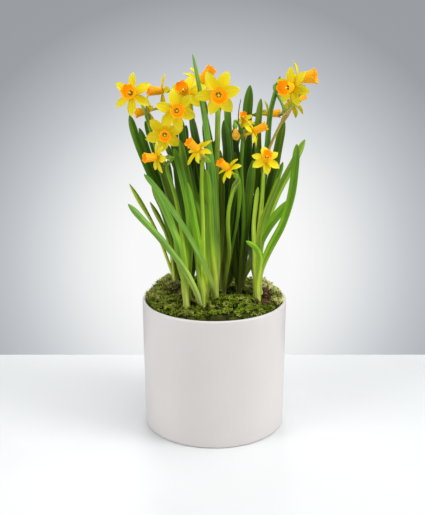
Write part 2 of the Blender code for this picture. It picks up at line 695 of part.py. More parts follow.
def pedicel_radii():
    return [PEDICEL_RADIUS] * PEDICEL_STATIONS + [OVARY_RADIUS, TUBE_RADIUS * 0.85]


def bloom_foot(bloom):
    """Where a bloom's ovary ends, just short of its tube, and the way the bloom faces."""
    hub, axis, _, _ = bloom_frame(bloom)
    return hub - axis * (TUBE_LENGTH * bloom.size + GAP), axis


def bloom_obstacles(bloom):
    """Balls that fill a bloom: (point, half width across, half depth)."""
    hub, axis, _, _ = bloom_frame(bloom)
    found = [(hub + axis * z * bloom.size, radius, radius) for z, radius in TUBE_ROOM]
    for z, radius in CUP_ROOM:
        found.append((hub + axis * z * bloom.size, radius * bloom.size, radius * bloom.size))
    if bloom.name == "spent":
        return found
    for line, _, _ in petal_lines(bloom):
        for point, radius in zip(line[1:], PETAL_ROOM):
            wide = radius * bloom.size
            found.append((point, wide, wide * math.sqrt(1 - axis[1] ** 2) + 1.0))
    return found


def fixed_obstacles(shoots, blooms, pedicels):
    """What strands pass: blooms, pedicels and the sheaths of other shoots, as (owner, point, wide, deep)."""
    found = []
    for bloom in blooms.values():
        found += [("bloom " + bloom.name, *ball) for ball in bloom_obstacles(bloom)]
    for shoot in shoots.values():
        top = shoot_line(shoot)[-1]
        for drop in np.linspace(0, SHEATH_RISE, 5):
            point = top - np.array([0.0, 0.0, drop])
            found.append((shoot.name, point, SHEATH_HALF_WIDTH, SHEATH_HALF_DEPTH))
    for owner, line in pedicels:
        found += [(owner, point, PEDICEL_ROOM, PEDICEL_ROOM) for point in line]
    return found


def bead_table(strands, obstacles):
    """Beads along every strand and then the obstacles, one row for each: its station, the share towards
    the next one, its place in the front view, half width, half depth, strand and share of the length."""
    rows = []
    base = 0
    for number, strand in enumerate(strands):
        count = len(strand.depth)
        for at in np.linspace(0, count - 1, BEADS_PER_STATION * (count - 1) + 1):
            k = min(int(at), count - 2)
            f = at - k
            mix = (1 - f, f)
            half = (mix[0] * strand.widths[k] + mix[1] * strand.widths[k + 1]) / 2
            turn = math.radians(mix[0] * strand.turns[k] + mix[1] * strand.turns[k + 1])
            wide = half if strand.round else half * abs(math.cos(turn)) + 0.5
            deep = half if strand.round else half * abs(math.sin(turn)) + 0.5
            across = mix[0] * strand.across[k] + mix[1] * strand.across[k + 1]
            up = mix[0] * strand.up[k] + mix[1] * strand.up[k + 1]
            rows.append((base + k, f, across, up, wide, deep, number, at / (count - 1)))
        base += count
    for owner_number, (_, point, wide, deep) in enumerate(obstacles):
        across, up = seen(point)
        rows.append((base + owner_number, 0.0, across, up, wide, deep, -1, 1.0))
    return np.array(rows)


def crossings(table, owners, groups):
    """Pairs of beads of different strands that lie over each other in the front view."""
    across, up, wide = table[:, 2], table[:, 3], table[:, 4]
    strand, along = table[:, 6], table[:, 7]
    near = np.hypot(across[:, None] - across, up[:, None] - up) < wide[:, None] + wide + 0.6
    near &= groups[:, None] != groups
    near &= (strand[:, None] >= 0) | (strand >= 0)
    same = owners[:, None] == owners
    near &= ~(same & ((along[:, None] < 0.12) | (along < 0.12) | (strand[:, None] < 0) | (strand < 0)))
    return np.nonzero(np.triu(near))


def settle(strands, obstacles):
    """Moves strands in depth only, each pair keeping its order, until they clear each other."""
    table = bead_table(strands, obstacles)
    station = table[:, 0].astype(int)
    share = table[:, 1]
    owner_names = [strands[int(row[6])].shoot if row[6] >= 0 else "" for row in table]
    owner_names[len(table) - len(obstacles):] = [owner for owner, *_ in obstacles]
    names = {name: k for k, name in enumerate(dict.fromkeys(owner_names))}
    owners = np.array([names[name] for name in owner_names])
    groups = np.where(table[:, 6] >= 0, table[:, 6], 1000 + owners)
    fixed = [[point[1] for _, point, _, _ in obstacles]]
    start = np.concatenate([strand.depth for strand in strands] + fixed)
    free = np.concatenate([free_share(strand) for strand in strands] + [np.zeros(len(obstacles))])
    after = np.minimum(station + 1, len(start) - 1)
    first, second = crossings(table, owners, groups)
    deep = table[:, 5]
    need = deep[first] + deep[second] + CLEARANCE
    loose = (1 - share) * free[station] + share * free[after]
    gap = bead_depths(start, station, after, share)
    order = pair_order(groups, first, second, gap[second] - gap[first])
    weight = loose[first] + loose[second]
    moved = weight > 0
    first, second, need, order, weight = (a[moved] for a in (first, second, need, order, weight))
    depth = start.copy()
    for k in range(SETTLE_ROUNDS):
        gap = bead_depths(depth, station, after, share)
        lack = np.maximum(need - order * (gap[second] - gap[first]), 0) * order
        if not lack.any():
            break
        push = np.bincount(second, lack * loose[second] / weight, len(table))
        push -= np.bincount(first, lack * loose[first] / weight, len(table))
        hits = np.bincount(second, lack != 0, len(table)) + np.bincount(first, lack != 0, len(table))
        push /= np.maximum(hits, 1)
        depth += station_push(push, hits > 0, station, after, share, len(depth)) * free * SETTLE_SHARE
        if k < SETTLE_ROUNDS * 0.8:
            smooth_shift(strands, depth, start, free)
    base = 0
    for strand in strands:
        strand.depth = depth[base : base + len(strand.depth)]
        base += len(strand.depth)


def free_share(strand):
    """How freely each station moves in depth: not at the root, and not where a stalk holds its blooms."""
    free = np.ones(len(strand.depth))
    free[:2] = (0, 0.5)
    if strand.held:
        free[-1] = 0
    return free


def bead_depths(depth, station, after, share):
    return depth[station] * (1 - share) + depth[after] * share


def pair_order(groups, first, second, ahead):
    """For each crossing, +1 where the second strand lies behind the first over all their crossings."""
    key = np.minimum(groups[first], groups[second]) * 10000 + np.maximum(groups[first], groups[second])
    ahead = np.where(groups[first] < groups[second], ahead, -ahead)
    _, index = np.unique(key, return_inverse=True)
    total = np.bincount(index, ahead)
    order = np.where(total >= 0, 1.0, -1.0)[index]
    return np.where(groups[first] < groups[second], order, -order)


def station_push(push, hit, station, after, share, count):
    """Beads' pushes averaged onto the stations either side of them."""
    low, high = (1 - share) * hit, share * hit
    total = np.bincount(station, push * low, count) + np.bincount(after, push * high, count)
    weight = np.bincount(station, low, count) + np.bincount(after, high, count)
    return total / np.maximum(weight, 1e-9)


def smooth_shift(strands, depth, start, free):
    """Spreads each strand's shift along it, so that it stays a smooth curve."""
    base = 0
    for strand in strands:
        end = base + len(strand.depth)
        shift = depth[base:end] - start[base:end]
        padded = np.concatenate([[shift[0]], shift, [shift[-1]]])
        even = (padded[:-2] + padded[2:]) / 2
        depth[base:end] = start[base:end] + shift + (even - shift) * SMOOTH_SHARE * (free[base:end] > 0)
        base = end


def arc(radius, height, size, start, end, steps):
    """Profile points round a corner, from one angle to another, in degrees up from straight out."""
    angles = np.radians(np.linspace(start, end, steps + 1))
    return [(radius + size * math.cos(a), height + size * math.sin(a)) for a in angles]


def make_pot(material):
    inner_foot = POT_BASE_RADIUS - POT_WALL
    rim = POT_WALL / 2
    profile = arc(POT_BASE_RADIUS - FOOT_ROUND, FOOT_ROUND, FOOT_ROUND, -90, 0, 2)
    profile += arc(POT_RADIUS - rim, POT_HEIGHT - rim, rim, 0, 180, 4)
    profile += [(inner_foot, POT_FLOOR + CORNER_CUT), (inner_foot - CORNER_CUT, POT_FLOOR)]
    make_object("pot", loft(turned(profile, POT_SIDES)), material)


def bulb(shoot, slack=0.0):
    """A bulb standing in the soil, or with some slack the hollow for it."""
    profile = [
        (BULB_FOOT_RADIUS + slack, BULB_FOOT - slack),
        (BULB_RADIUS * 0.95 + slack, BULB_FOOT + 8.0),
        (BULB_RADIUS * 0.9 + slack, BULB_SHOULDER),
        (NECK_RADIUS * 1.4 + slack, BULB_TIP - 4.0),
        (NECK_RADIUS + slack, BULB_TIP + slack),
    ]
    return loft(turned(profile, BULB_SIDES, shoot.bulb))


def sheath(shoot, slack=0.0, low=0):
    """The pale sheath round a shoot's leaves, flattened like a fan, or with some slack the hole for it."""
    rings = []
    for (x, y, z), spread, size in zip(shoot_line(shoot), (0, 1, 1), (1, 1, 0.9)):
        wide = (NECK_RADIUS + (SHEATH_HALF_WIDTH - NECK_RADIUS) * spread) * size + slack
        deep = (NECK_RADIUS + (SHEATH_HALF_DEPTH - NECK_RADIUS) * spread) * size + slack
        angles = [2 * math.pi * k / SHEATH_SIDES for k in range(SHEATH_SIDES)]
        rings.append([np.array([x + wide * math.cos(a), y + deep * math.sin(a), z]) for a in angles])
    return loft(rings[low:])


def make_soil(shoots, material):
    inner_foot = POT_BASE_RADIUS - POT_WALL - GAP
    profile = [
        (inner_foot - CORNER_CUT, POT_FLOOR + GAP),
        (inner_foot, POT_FLOOR + CORNER_CUT + GAP),
        (inner_foot + (POT_RADIUS - POT_BASE_RADIUS) * SOIL_TOP / POT_HEIGHT, SOIL_TOP),
    ]
    soil = make_object("soil", loft(turned(profile, POT_SIDES)), material)
    cutters = []
    for shoot in shoots.values():
        cutters.append(make_object("bulb_hole", bulb(shoot, HOLE_SLACK)))
        cutters.append(make_object("shoot_hole", sheath(shoot, HOLE_SLACK)))
    apply_boolean(soil, cutters, "DIFFERENCE")


def make_moss(shoots, material):
    rings = []
    for share in MOSS_RINGS:
        ring = turned([(MOSS_RADIUS * share, 0.0)], MOSS_SIDES)[0]
        rings.append([np.array([x, y, moss_height(x, y)]) for x, y, _ in ring])
    under = turned([(MOSS_RADIUS, SOIL_TOP + GAP)], MOSS_SIDES)
    moss = make_object("moss", loft(under + rings, fan=True), material)
    cutters = [make_object("moss_hole", sheath(shoot, MOSS_HOLE_SLACK, 1)) for shoot in shoots.values()]
    apply_boolean(moss, cutters, "DIFFERENCE")
    keep_largest_piece(moss)


def make_shoot(shoot, pieces, green):
    """One green node: a sheath with the leaves, stalks, pedicels and ovaries that grow from it."""
    base = make_object("shoot_" + shoot.name, sheath(shoot), green)
    others = [make_object(f"piece_{k}", piece) for k, piece in enumerate(pieces)]
    apply_boolean(base, others, "UNION")
    keep_largest_piece(base)


def main():
    for thing in list(bpy.data.objects):
        bpy.data.objects.remove(thing)
    white = paint("glazed_white", (0.86, 0.85, 0.83), 0.35)
    earth = paint("soil", (0.05, 0.03, 0.02), 0.95)
    olive = paint("moss", (0.14, 0.17, 0.03), 0.95)
    brown = paint("bulb_skin", (0.32, 0.17, 0.07), 0.7)
    green = paint("leaf", (0.14, 0.32, 0.05), 0.5)
    yellow = paint("petal", (0.87, 0.75, 0.05), 0.6)
    orange = paint("cup", (0.95, 0.5, 0.01), 0.6)
    tan = paint("withered", (0.7, 0.35, 0.04), 0.8)
    shoots = {shoot.name: shoot for shoot in SHOOTS}
    blooms = {bloom.name: bloom for bloom in BLOOMS}
    make_pot(white)
    make_soil(shoots, earth)
    make_moss(shoots, olive)
    for shoot in shoots.values():
        make_object("bulb_" + shoot.name, bulb(shoot), brown)
    withered = blooms["spent"]
    make_object("bloom_spent", spent_bloom(withered), tan)
    for bloom in blooms.values():
        if bloom is not withered:
            make_bloom(bloom, yellow, orange)
    make_plants(shoots, blooms, green)


def make_plants(shoots, blooms, green):
    layers = root_layers(LEAVES + STALKS)
    leaves = [leaf_strand(leaf, shoots[leaf.shoot], layers[id(leaf)]) for leaf in LEAVES]
    scapes = [stalk_strand(stalk, shoots[stalk.shoot], layers[id(stalk)]) for stalk in STALKS]
    held = []
    for stalk, strand in zip(STALKS, scapes):
        held += [(stalk.shoot, line) for line, _ in carried(stalk, strand, blooms)]
    settle(leaves + scapes, fixed_obstacles(shoots, blooms, held))
    pieces = {name: [] for name in shoots}
    for strand in leaves:
        pieces[strand.shoot].append(blade(strand.line(), strand.widths, strand.turns))
    for stalk, strand in zip(STALKS, scapes):
        pieces[stalk.shoot] += stalk_pieces(stalk, strand, blooms)
    for name, shoot in shoots.items():
        make_shoot(shoot, pieces[name], green)


def carried(stalk, strand, blooms):
    """What a stalk carries from its fork: (line, radii) of each pedicel with its ovary."""
    line = strand.line()
    along = unit(line[-1] - line[-2])
    found = []
    for k, head in enumerate(head for head in stalk.heads if head in blooms):
        foot, aim = bloom_foot(blooms[head])
        found.append((pedicel_line(line[-1] - along * 1.2 * k, along, foot, aim), pedicel_radii()))
    return found


def spathe(stalk, strand, blooms):
    """The papery blade behind a fork, leaning away from the blooms where its tip isn't given."""
    line = strand.line()
    fork = line[-1]
    along = unit(fork - line[-2])
    if stalk.spathe:
        across, up, back = stalk.spathe
        tip = place(strand.across[-1] + across, strand.up[-1] + up, fork[1] + back)
    else:
        feet = [unit(bloom_foot(blooms[head])[0] - fork) for head in stalk.heads]
        tip = fork + unit(along * 2.2 - unit(np.mean(feet, axis=0))) * SPATHE_LENGTH
    points = [fork - along * 5, fork + (tip - fork) * 0.35 + along, tip]
    return blade(points, SPATHE_WIDTHS, SPATHE_TURNS)


def stalk_pieces(stalk, strand, blooms):
    """A stalk running on into its first pedicel, a tube for each further pedicel, and the spathe."""
    radii = list(strand.widths / 2)
    pedicels = carried(stalk, strand, blooms)
    if not pedicels:
        return [tube(strand.line(), radii, STALK_SIDES)]
    bend, bend_radii = pedicels[0]
    pieces = [tube(np.vstack([strand.line(), bend[1:]]), radii + bend_radii[1:], STALK_SIDES)]
    pieces += [tube(*pedicel, STALK_SIDES) for pedicel in pedicels[1:]]
    pieces.append(spathe(stalk, strand, blooms))
    return pieces


main()
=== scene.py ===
# %% [markdown]
# # A pot of dwarf daffodils
#
# The object is a white ceramic pot filled with soil, bulbs and moss. Ten bulbs send up strap leaves and
# flower stalks, and each bloom has six yellow petals round an orange cup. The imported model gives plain
# solids for all of it. This lesson dresses them with fine meshes and procedural finishes.
#
# Lengths are written in millimetres, as a gardener would measure them, and become metres in the meshes.

# %% Load the frame
import math
from dataclasses import dataclass

import bmesh
import bpy
import numpy as np
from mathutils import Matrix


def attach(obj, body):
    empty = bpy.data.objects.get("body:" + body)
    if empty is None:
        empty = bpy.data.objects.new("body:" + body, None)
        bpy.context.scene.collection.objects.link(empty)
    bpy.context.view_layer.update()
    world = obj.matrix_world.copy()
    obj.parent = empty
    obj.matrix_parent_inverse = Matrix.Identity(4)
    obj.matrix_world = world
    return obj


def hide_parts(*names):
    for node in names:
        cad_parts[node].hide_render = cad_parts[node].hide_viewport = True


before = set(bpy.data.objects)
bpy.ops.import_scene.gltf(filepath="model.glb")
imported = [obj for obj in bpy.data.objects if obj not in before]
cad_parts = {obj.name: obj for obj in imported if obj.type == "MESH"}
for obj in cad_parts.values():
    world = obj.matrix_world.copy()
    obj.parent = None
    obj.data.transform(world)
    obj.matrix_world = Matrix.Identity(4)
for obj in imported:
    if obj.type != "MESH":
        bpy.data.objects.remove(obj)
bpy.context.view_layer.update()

MM = 0.001

# %% [markdown]
# ## Camera
#
# The eye stands about 0.94 m in front of the pot and looks down on it a little. The lens is chosen so that
# one pixel of a picture 515 pixels high is one millimetre on a plane 948 mm away. The same numbers later
# place every leaf and bloom, so a leaf that is drawn in this view can be pushed back or pulled forward
# without changing how it looks from the front.

# %% Make the camera
EYE = np.array([-1.9, -940.0, 456.0])
SIGHT_DOWN = math.radians(16.35)
SIGHT_PLANE = 948.0
SIGHT_ZERO = (2.5, -42.5)
PICTURE_HEIGHT = 515.0
AHEAD = np.array([0.0, math.cos(SIGHT_DOWN), -math.sin(SIGHT_DOWN)])
RIGHTWARD = np.array([1.0, 0.0, 0.0])
UPWARD = np.array([0.0, math.sin(SIGHT_DOWN), math.cos(SIGHT_DOWN)])

camera_data = bpy.data.cameras.new("front_view")
camera_data.lens = SIGHT_PLANE * camera_data.sensor_width / PICTURE_HEIGHT
camera = bpy.data.objects.new("front_view", camera_data)
camera.location = EYE * MM
camera.rotation_euler = (math.pi / 2 - SIGHT_DOWN, 0.0, 0.0)
bpy.context.scene.collection.objects.link(camera)
bpy.context.scene.camera = camera
bpy.context.scene.view_settings.view_transform = "Standard"
print("lens in mm:", round(camera_data.lens, 2))

# %% [markdown]
# ## Finishes
#
# A finish is a material whose colour, roughness and bump come from nodes. These helpers keep each finish
# short: `give` feeds the sockets of its shader, `node` adds a node and fills its inputs, and `attribute`
# reads a number that the mesh code stored on every point, such as how far along a leaf it lies.

# %% Helpers for finishes
def feed(finish, socket, value):
    """Joins a socket to another one, or sets it to a plain value."""
    if isinstance(value, bpy.types.NodeSocket):
        finish.node_tree.links.new(value, socket)
    else:
        socket.default_value = value


def give(finish, value, *sockets):
    """Feeds sockets of the finish's Principled shader, given by name."""
    for name in sockets:
        feed(finish, finish.node_tree.nodes["Principled BSDF"].inputs[name], value)


def new_finish(name, **sockets):
    """A material with a Principled shader, and its plain values set on the shader's own sockets."""
    finish = bpy.data.materials.new(name)
    finish.use_nodes = True
    for key, value in sockets.items():
        give(finish, value, key.replace("_", " "))
    return finish


def node(finish, kind, inputs=(), **settings):
    """A new node of a kind, with its settings made and its inputs fed."""
    made = finish.node_tree.nodes.new("ShaderNode" + kind)
    for key, value in settings.items():
        setattr(made, key, value)
    for key, value in dict(inputs).items():
        feed(finish, made.inputs[key], value)
    return made


def attribute(finish, name, output="Fac"):
    """Reads what the mesh code stored on the points under this name."""
    return node(finish, "Attribute", attribute_name=name).outputs[output]


def place_of(finish):
    """The object's own coordinates, in metres."""
    return node(finish, "TexCoord").outputs["Object"]


print("finishes can be made and fed")

# %% [markdown]
# Colours come from ramps, which are then mixed or multiplied with each other. Small unevenness comes from
# noise: stretched along the grain of a leaf it makes veins, and as a bump it makes a relief.

# %% Helpers for colour and relief
def ramp(finish, source, *stops):
    """A colour for each value of the source. A stop is (position, red, green, blue)."""
    made = node(finish, "ValToRGB", {"Fac": source})
    elements = made.color_ramp.elements
    while len(elements) < len(stops):
        elements.new(0.5)
    for element, (position, *colour) in zip(elements, stops):
        element.position = position
        element.color = (*colour, 1.0)
    return made.outputs["Color"]


def calc(finish, operation, first, second=0.0):
    """One sum, product or other piece of arithmetic on numbers."""
    return node(finish, "Math", {0: first, 1: second}, operation=operation).outputs[0]


def mix(finish, share, first, second, blend="MIX"):
    """Mixes two colours. Inputs 6 and 7 are the Mix node's colour sockets."""
    made = node(finish, "Mix", {0: share, 6: first, 7: second}, data_type="RGBA", blend_type=blend)
    return made.outputs[2]


def tint(finish, shade, share, source, *stops):
    """Multiplies a colour by a ramp over the source."""
    return mix(finish, share, shade, ramp(finish, source, *stops), "MULTIPLY")


def noise(finish, where, scale, detail=3.0, stretch=(1.0, 1.0, 1.0)):
    """A noise value. The stretch makes it finer or longer along each axis."""
    placed = node(finish, "Mapping", {"Vector": where, "Scale": stretch}).outputs[0]
    return node(finish, "TexNoise", {"Vector": placed, "Scale": scale, "Detail": detail}).outputs[0]


def grain_noise(finish, stretch, detail=2.0):
    """A noise stretched along the grain that the mesh code stored."""
    return noise(finish, attribute(finish, "grain", "Vector"), 1.0, detail, stretch)


def bump(finish, height, strength, distance):
    """Lets the light fall as if the surface had this relief. The distance is its depth."""
    made = node(finish, "Bump", {"Height": height, "Strength": strength, "Distance": distance * MM})
    give(finish, made.outputs["Normal"], "Normal")


print("colours and reliefs can be mixed")

# %% [markdown]
# ## Skins
#
# Every grown thing here is a row of closed loops joined to each other: a stalk is a row of circles, and a
# leaf or a petal is a row of thin slits. `Skin` gathers such rows for one mesh, closes their ends, and
# keeps numbers on each point for the finishes to read. The meshes are closed, so they have a true
# thickness and cast soft, natural shadows on each other.

# %% Helpers for meshes
SMOOTH_UP_TO = math.radians(50)


class Skin:
    """Rows of loops gathered for one mesh, in millimetres, with numbers noted on each point."""

    def __init__(self):
        self.points = []
        self.faces = []
        self.notes = {}
        self.count = 0

    def note(self, shape, notes):
        """Keeps the numbers given for a shape's points, spread over all of them."""
        for key, value in notes.items():
            value = np.asarray(value, float)
            wide = shape + (3,) if key == "grain" else shape
            self.notes.setdefault(key, []).append(np.broadcast_to(value, wide).reshape(-1, *wide[2:]))

    def add(self, rings, **notes):
        """Joins loops, given as an array of rows by columns by 3, and closes both ends."""
        rings = np.asarray(rings, float)
        rows, columns = rings.shape[:2]
        row, column = np.meshgrid(np.arange(rows - 1), np.arange(columns), indexing="ij")
        after = (column + 1) % columns
        corners = [row * columns + column, row * columns + after]
        corners += [(row + 1) * columns + after, (row + 1) * columns + column]
        quads = np.stack(corners, axis=-1).reshape(-1, 4) + self.count
        self.faces += quads.tolist()
        self.faces.append(list(range(self.count + columns - 1, self.count - 1, -1)))
        last = self.count + (rows - 1) * columns
        self.faces.append(list(range(last, last + columns)))
        self.points.append(rings.reshape(-1, 3))
        self.note((rows, columns), notes)
        self.count += rows * columns

    def add_copies(self, copies, pattern, **notes):
        """Many small shapes with the same faces, given as an array of shapes by points by 3."""
        shapes, size = copies.shape[:2]
        starts = self.count + size * np.arange(shapes)
        for face in pattern:
            self.faces += (starts[:, None] + np.array(face)).tolist()
        self.points.append(copies.reshape(-1, 3))
        self.note((shapes, size), notes)
        self.count += shapes * size

    def mesh(self, name):
        """The finished mesh, in metres, with its faces turned outwards and its notes as attributes."""
        made = bpy.data.meshes.new(name)
        made.from_pydata((np.concatenate(self.points) * MM).tolist(), [], self.faces)
        edit = bmesh.new()
        edit.from_mesh(made)
        bmesh.ops.recalc_face_normals(edit, faces=edit.faces)
        edit.to_mesh(made)
        edit.free()
        for key, values in self.notes.items():
            values = np.concatenate(values)
            kind, field = ("FLOAT_VECTOR", "vector") if key == "grain" else ("FLOAT", "value")
            layer = made.attributes.new(key, kind, "POINT")
            layer.data.foreach_set(field, values.astype(np.float32).ravel())
        made.shade_smooth()
        made.set_sharp_from_angle(angle=SMOOTH_UP_TO)
        return made


print("a skin turns faces smooth up to", round(math.degrees(SMOOTH_UP_TO)), "degrees")

# %% [markdown]
# A piece is an object made from a skin. It rides on the root of the frame and says which solids it stands
# for, if any. The loops below come back in nearly every piece.

# %% Helpers for pieces and loops
def make_piece(name, skin, finish, slot, *nodes):
    """An object that rides on the frame and stands for the named solids."""
    mesh = skin.mesh(name)
    mesh.materials.append(finish)
    piece = bpy.data.objects.new(name, mesh)
    bpy.context.scene.collection.objects.link(piece)
    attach(piece, "root")
    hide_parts(*nodes)
    triangles = sum(len(face) - 2 for face in skin.faces)
    print(name, triangles, "triangles")


def round_angles(sides):
    """Angles spread evenly over a full turn."""
    return 2 * np.pi * np.arange(sides) / sides


def circle(sides, side, other):
    """The points of a circle of radius one, spanned by two directions."""
    angles = round_angles(sides)
    return np.outer(np.cos(angles), side) + np.outer(np.sin(angles), other)


def grain_of(across, run, seed):
    """A note of where points lie across and along a piece, with a number that sets it apart."""
    return np.stack(np.broadcast_arrays(across, run, seed), axis=-1)


def turned(profile, sides):
    """Loops round the upright axis, one for each (radius, height) of the profile."""
    angles = round_angles(sides)
    radius, height = np.array(profile, float).T
    x = radius[:, None] * np.cos(angles)
    y = radius[:, None] * np.sin(angles)
    return np.stack([x, y, np.broadcast_to(height[:, None], x.shape)], axis=-1)


def unit(vector):
    """The same direction with length one."""
    return vector / np.linalg.norm(vector, axis=-1, keepdims=True)


print("a circle of four points:", circle(4, RIGHTWARD, UPWARD).round(2).tolist())

# %% [markdown]
# ## Pot
#
# The pot is slip-cast stoneware under a satin white glaze: nearly straight walls, a soft round rim, a small
# round at the foot and a flat underside. A turned profile gives this exactly, with round stretches as
# arcs. The glaze is warm white, with a very slight unevenness that shows only in its soft reflections.

# %% Turn the pot
POT_HEIGHT = 137.0
POT_RADIUS = 75.0
POT_BASE_RADIUS = 73.8
POT_WALL = 3.6
POT_FLOOR = 6.0
FOOT_ROUND = 2.5
CORNER_ROUND = 5.0
POT_SIDES = 160
WALL_ROWS = 12


def arc(radius, height, size, start, end, steps):
    """Profile points round a corner, from one angle to another, in degrees up from straight out."""
    angles = np.radians(np.linspace(start, end, steps + 1))
    return [(radius + size * math.cos(a), height + size * math.sin(a)) for a in angles]


inner_foot = POT_BASE_RADIUS - POT_WALL
rim_half = POT_WALL / 2
foot_arc = arc(POT_BASE_RADIUS - FOOT_ROUND, FOOT_ROUND, FOOT_ROUND, -90, 0, 6)
wall_heights = np.linspace(FOOT_ROUND, POT_HEIGHT - rim_half, WALL_ROWS + 2)[1:-1]
wall = [(POT_BASE_RADIUS + (POT_RADIUS - POT_BASE_RADIUS) * z / POT_HEIGHT, z) for z in wall_heights]
rim_arc = arc(POT_RADIUS - rim_half, POT_HEIGHT - rim_half, rim_half, 0, 180, 12)
floor_arc = arc(inner_foot - CORNER_ROUND, POT_FLOOR + CORNER_ROUND, CORNER_ROUND, 0, -90, 5)
pot_profile = [(1.0, 0.0)] + foot_arc + wall + rim_arc + floor_arc + [(1.0, POT_FLOOR)]

glaze = new_finish("satin_white_glaze", Roughness=0.38, Coat_Weight=0.15, Coat_Roughness=0.25)
cloud = noise(glaze, place_of(glaze), 14.0)
speck = noise(glaze, place_of(glaze), 900.0, 1.0)
white = ramp(glaze, cloud, (0.3, 0.68, 0.638, 0.614), (0.7, 0.715, 0.672, 0.648))
white = mix(glaze, calc(glaze, "GREATER_THAN", speck, 0.76), white, (0.60, 0.56, 0.52, 1.0))
give(glaze, white, "Base Color")
bump(glaze, noise(glaze, place_of(glaze), 120.0), 0.08, 0.4)

pot_skin = Skin()
pot_skin.add(turned(pot_profile, POT_SIDES))
make_piece("glazed_pot", pot_skin, glaze, "pot_glaze", "pot")

# %% [markdown]
# ## Table, backdrop and light
#
# The pot stands on a plain white table whose back edge is a little behind it. The backdrop is the world
# itself: it is brightest low behind the pot and turns a soft grey-blue outwards. Large area lamps stand
# for studio soft boxes, with the stronger one at the right.

# %% Lay the table and light it
TABLE_BACK = 177.0
TABLE_FRONT = -1800.0
TABLE_HALF_WIDTH = 1500.0
TABLE_THICKNESS = 30.0
GLOW_STRETCH = (4.0, 1.0, 4.2)
GLOW_DIRECTION = (0.0, 0.9596, -1.182)

laminate = new_finish("white_table", Roughness=0.45)
veined = noise(laminate, place_of(laminate), 6.0, 6.0)
off_white = ramp(laminate, veined, (0.30, 0.75, 0.755, 0.75), (0.45, 0.785, 0.79, 0.785))
give(laminate, off_white, "Base Color")

table_skin = Skin()
table_corners = [(-TABLE_HALF_WIDTH, TABLE_FRONT), (TABLE_HALF_WIDTH, TABLE_FRONT)]
table_corners += [(TABLE_HALF_WIDTH, TABLE_BACK), (-TABLE_HALF_WIDTH, TABLE_BACK)]
table_skin.add([[(x, y, z) for x, y in table_corners] for z in (-TABLE_THICKNESS, 0.0)])
table = bpy.data.objects.new("table", table_skin.mesh("table"))
table.data.materials.append(laminate)
bpy.context.scene.collection.objects.link(table)

studio = bpy.data.worlds.new("studio")
studio.use_nodes = True
bpy.context.scene.world = studio
direction = node(studio, "TexCoord").outputs["Generated"]
stretched = node(studio, "VectorMath", {0: direction, 1: GLOW_STRETCH}, operation="MULTIPLY").outputs[0]
away = node(studio, "VectorMath", {0: stretched, 1: GLOW_DIRECTION}, operation="DISTANCE").outputs["Value"]
glow = ramp(studio, calc(studio, "MULTIPLY", away, 0.5),
            (0.17, 0.95, 0.95, 0.95), (0.21, 0.91, 0.91, 0.91), (0.268, 0.83, 0.835, 0.84),
            (0.325, 0.71, 0.73, 0.75), (0.403, 0.555, 0.58, 0.607), (0.458, 0.474, 0.497, 0.527),
            (0.514, 0.40, 0.42, 0.447), (0.57, 0.33, 0.35, 0.375), (1.0, 0.29, 0.31, 0.335))
feed(studio, studio.node_tree.nodes["Background"].inputs["Color"], glow)


def soft_box(name, spot, aim, size, power):
    """A square area lamp at a spot, turned towards a point, both in metres."""
    lamp = bpy.data.lights.new(name, "AREA")
    lamp.size = size
    lamp.energy = power
    box = bpy.data.objects.new(name, lamp)
    box.location = spot
    way = np.array(aim) - np.array(spot)
    box.rotation_euler = (math.atan2(math.hypot(way[0], way[1]), -way[2]), 0.0, math.atan2(-way[0], way[1]))
    bpy.context.scene.collection.objects.link(box)


soft_box("right_box", (1.3, -0.55, 0.9), (0.0, 0.0, 0.2), 0.7, 15.0)
soft_box("left_box", (-1.3, -0.7, 0.8), (0.0, 0.0, 0.2), 0.9, 12.0)
soft_box("top_box", (0.2, -0.1, 1.5), (0.0, 0.0, 0.1), 0.8, 10.0)
soft_box("back_box", (-0.2, 1.3, 0.9), (0.0, 0.0, 0.25), 0.9, 5.0)
print("table, backdrop and four soft boxes are in place")

# %% [markdown]
# ## Moss
#
# The soil is hidden under cushions of living moss, heaped higher at the back left and back right. Real
# moss is thousands of tiny leafy stems. A dark lumpy bed gives the cushions their shape, and stars of
# curved leaflets, more than one on every square millimetre, give the surface. Their colour goes from
# nearly black at the root to olive at the tip, a painted shade that makes the gaps between tufts read as
# depth, and tufts on the crests are painted lighter and those in hollows darker, as painted light and shade.

# %% Shape the moss bed
SOIL_TOP = 122.0
MOSS_EDGE = 135.0
MOSS_DOME = 3.0
MOSS_RADIUS = 70.7
MOSS_EDGE_POWER = 16
MOSS_MOUNDS = ((-50, 38, 10.5, 24.0), (52, 32, 8.0, 20.0), (20, -36, 8.0, 20.0))
LUMP_STEP = 9.4
LUMP_HEIGHT = 5.4
LUMP_REACH = 6.0
BED_SIDES = 150
BED_ROWS = 46
BED_SINK = 1.2
BED_FOOT = SOIL_TOP + 0.3


def moss_height(x, y):
    """The moss's top: a low dome that drops to its edge, with mounds at the back and small lumps."""
    out = np.minimum(np.hypot(x, y) / MOSS_RADIUS, 1.0)
    rise = MOSS_DOME + 0.9 * np.sin(x / 5.3 + 0.6) * np.cos(y / 4.9)
    rise += 0.6 * np.sin(x / 2.9 - y / 3.7)
    for across, back, height, spread in MOSS_MOUNDS:
        rise += height * np.exp(-((x - across) ** 2 + (y - back) ** 2) / spread**2)
    return MOSS_EDGE + rise * (1 - out**MOSS_EDGE_POWER)


def scattered(step, radius, chance):
    """Points spread evenly but not regularly over a disc."""
    reach = np.arange(-radius, radius + step, step)
    x, y = np.meshgrid(reach, reach * 0.87)
    x[::2] += step / 2
    points = np.stack([x.ravel(), y.ravel()], axis=1)
    points += chance.uniform(-0.42, 0.42, points.shape) * step
    return points[np.hypot(*points.T) < radius]


lumps = scattered(LUMP_STEP, MOSS_RADIUS + 2, np.random.default_rng(3))


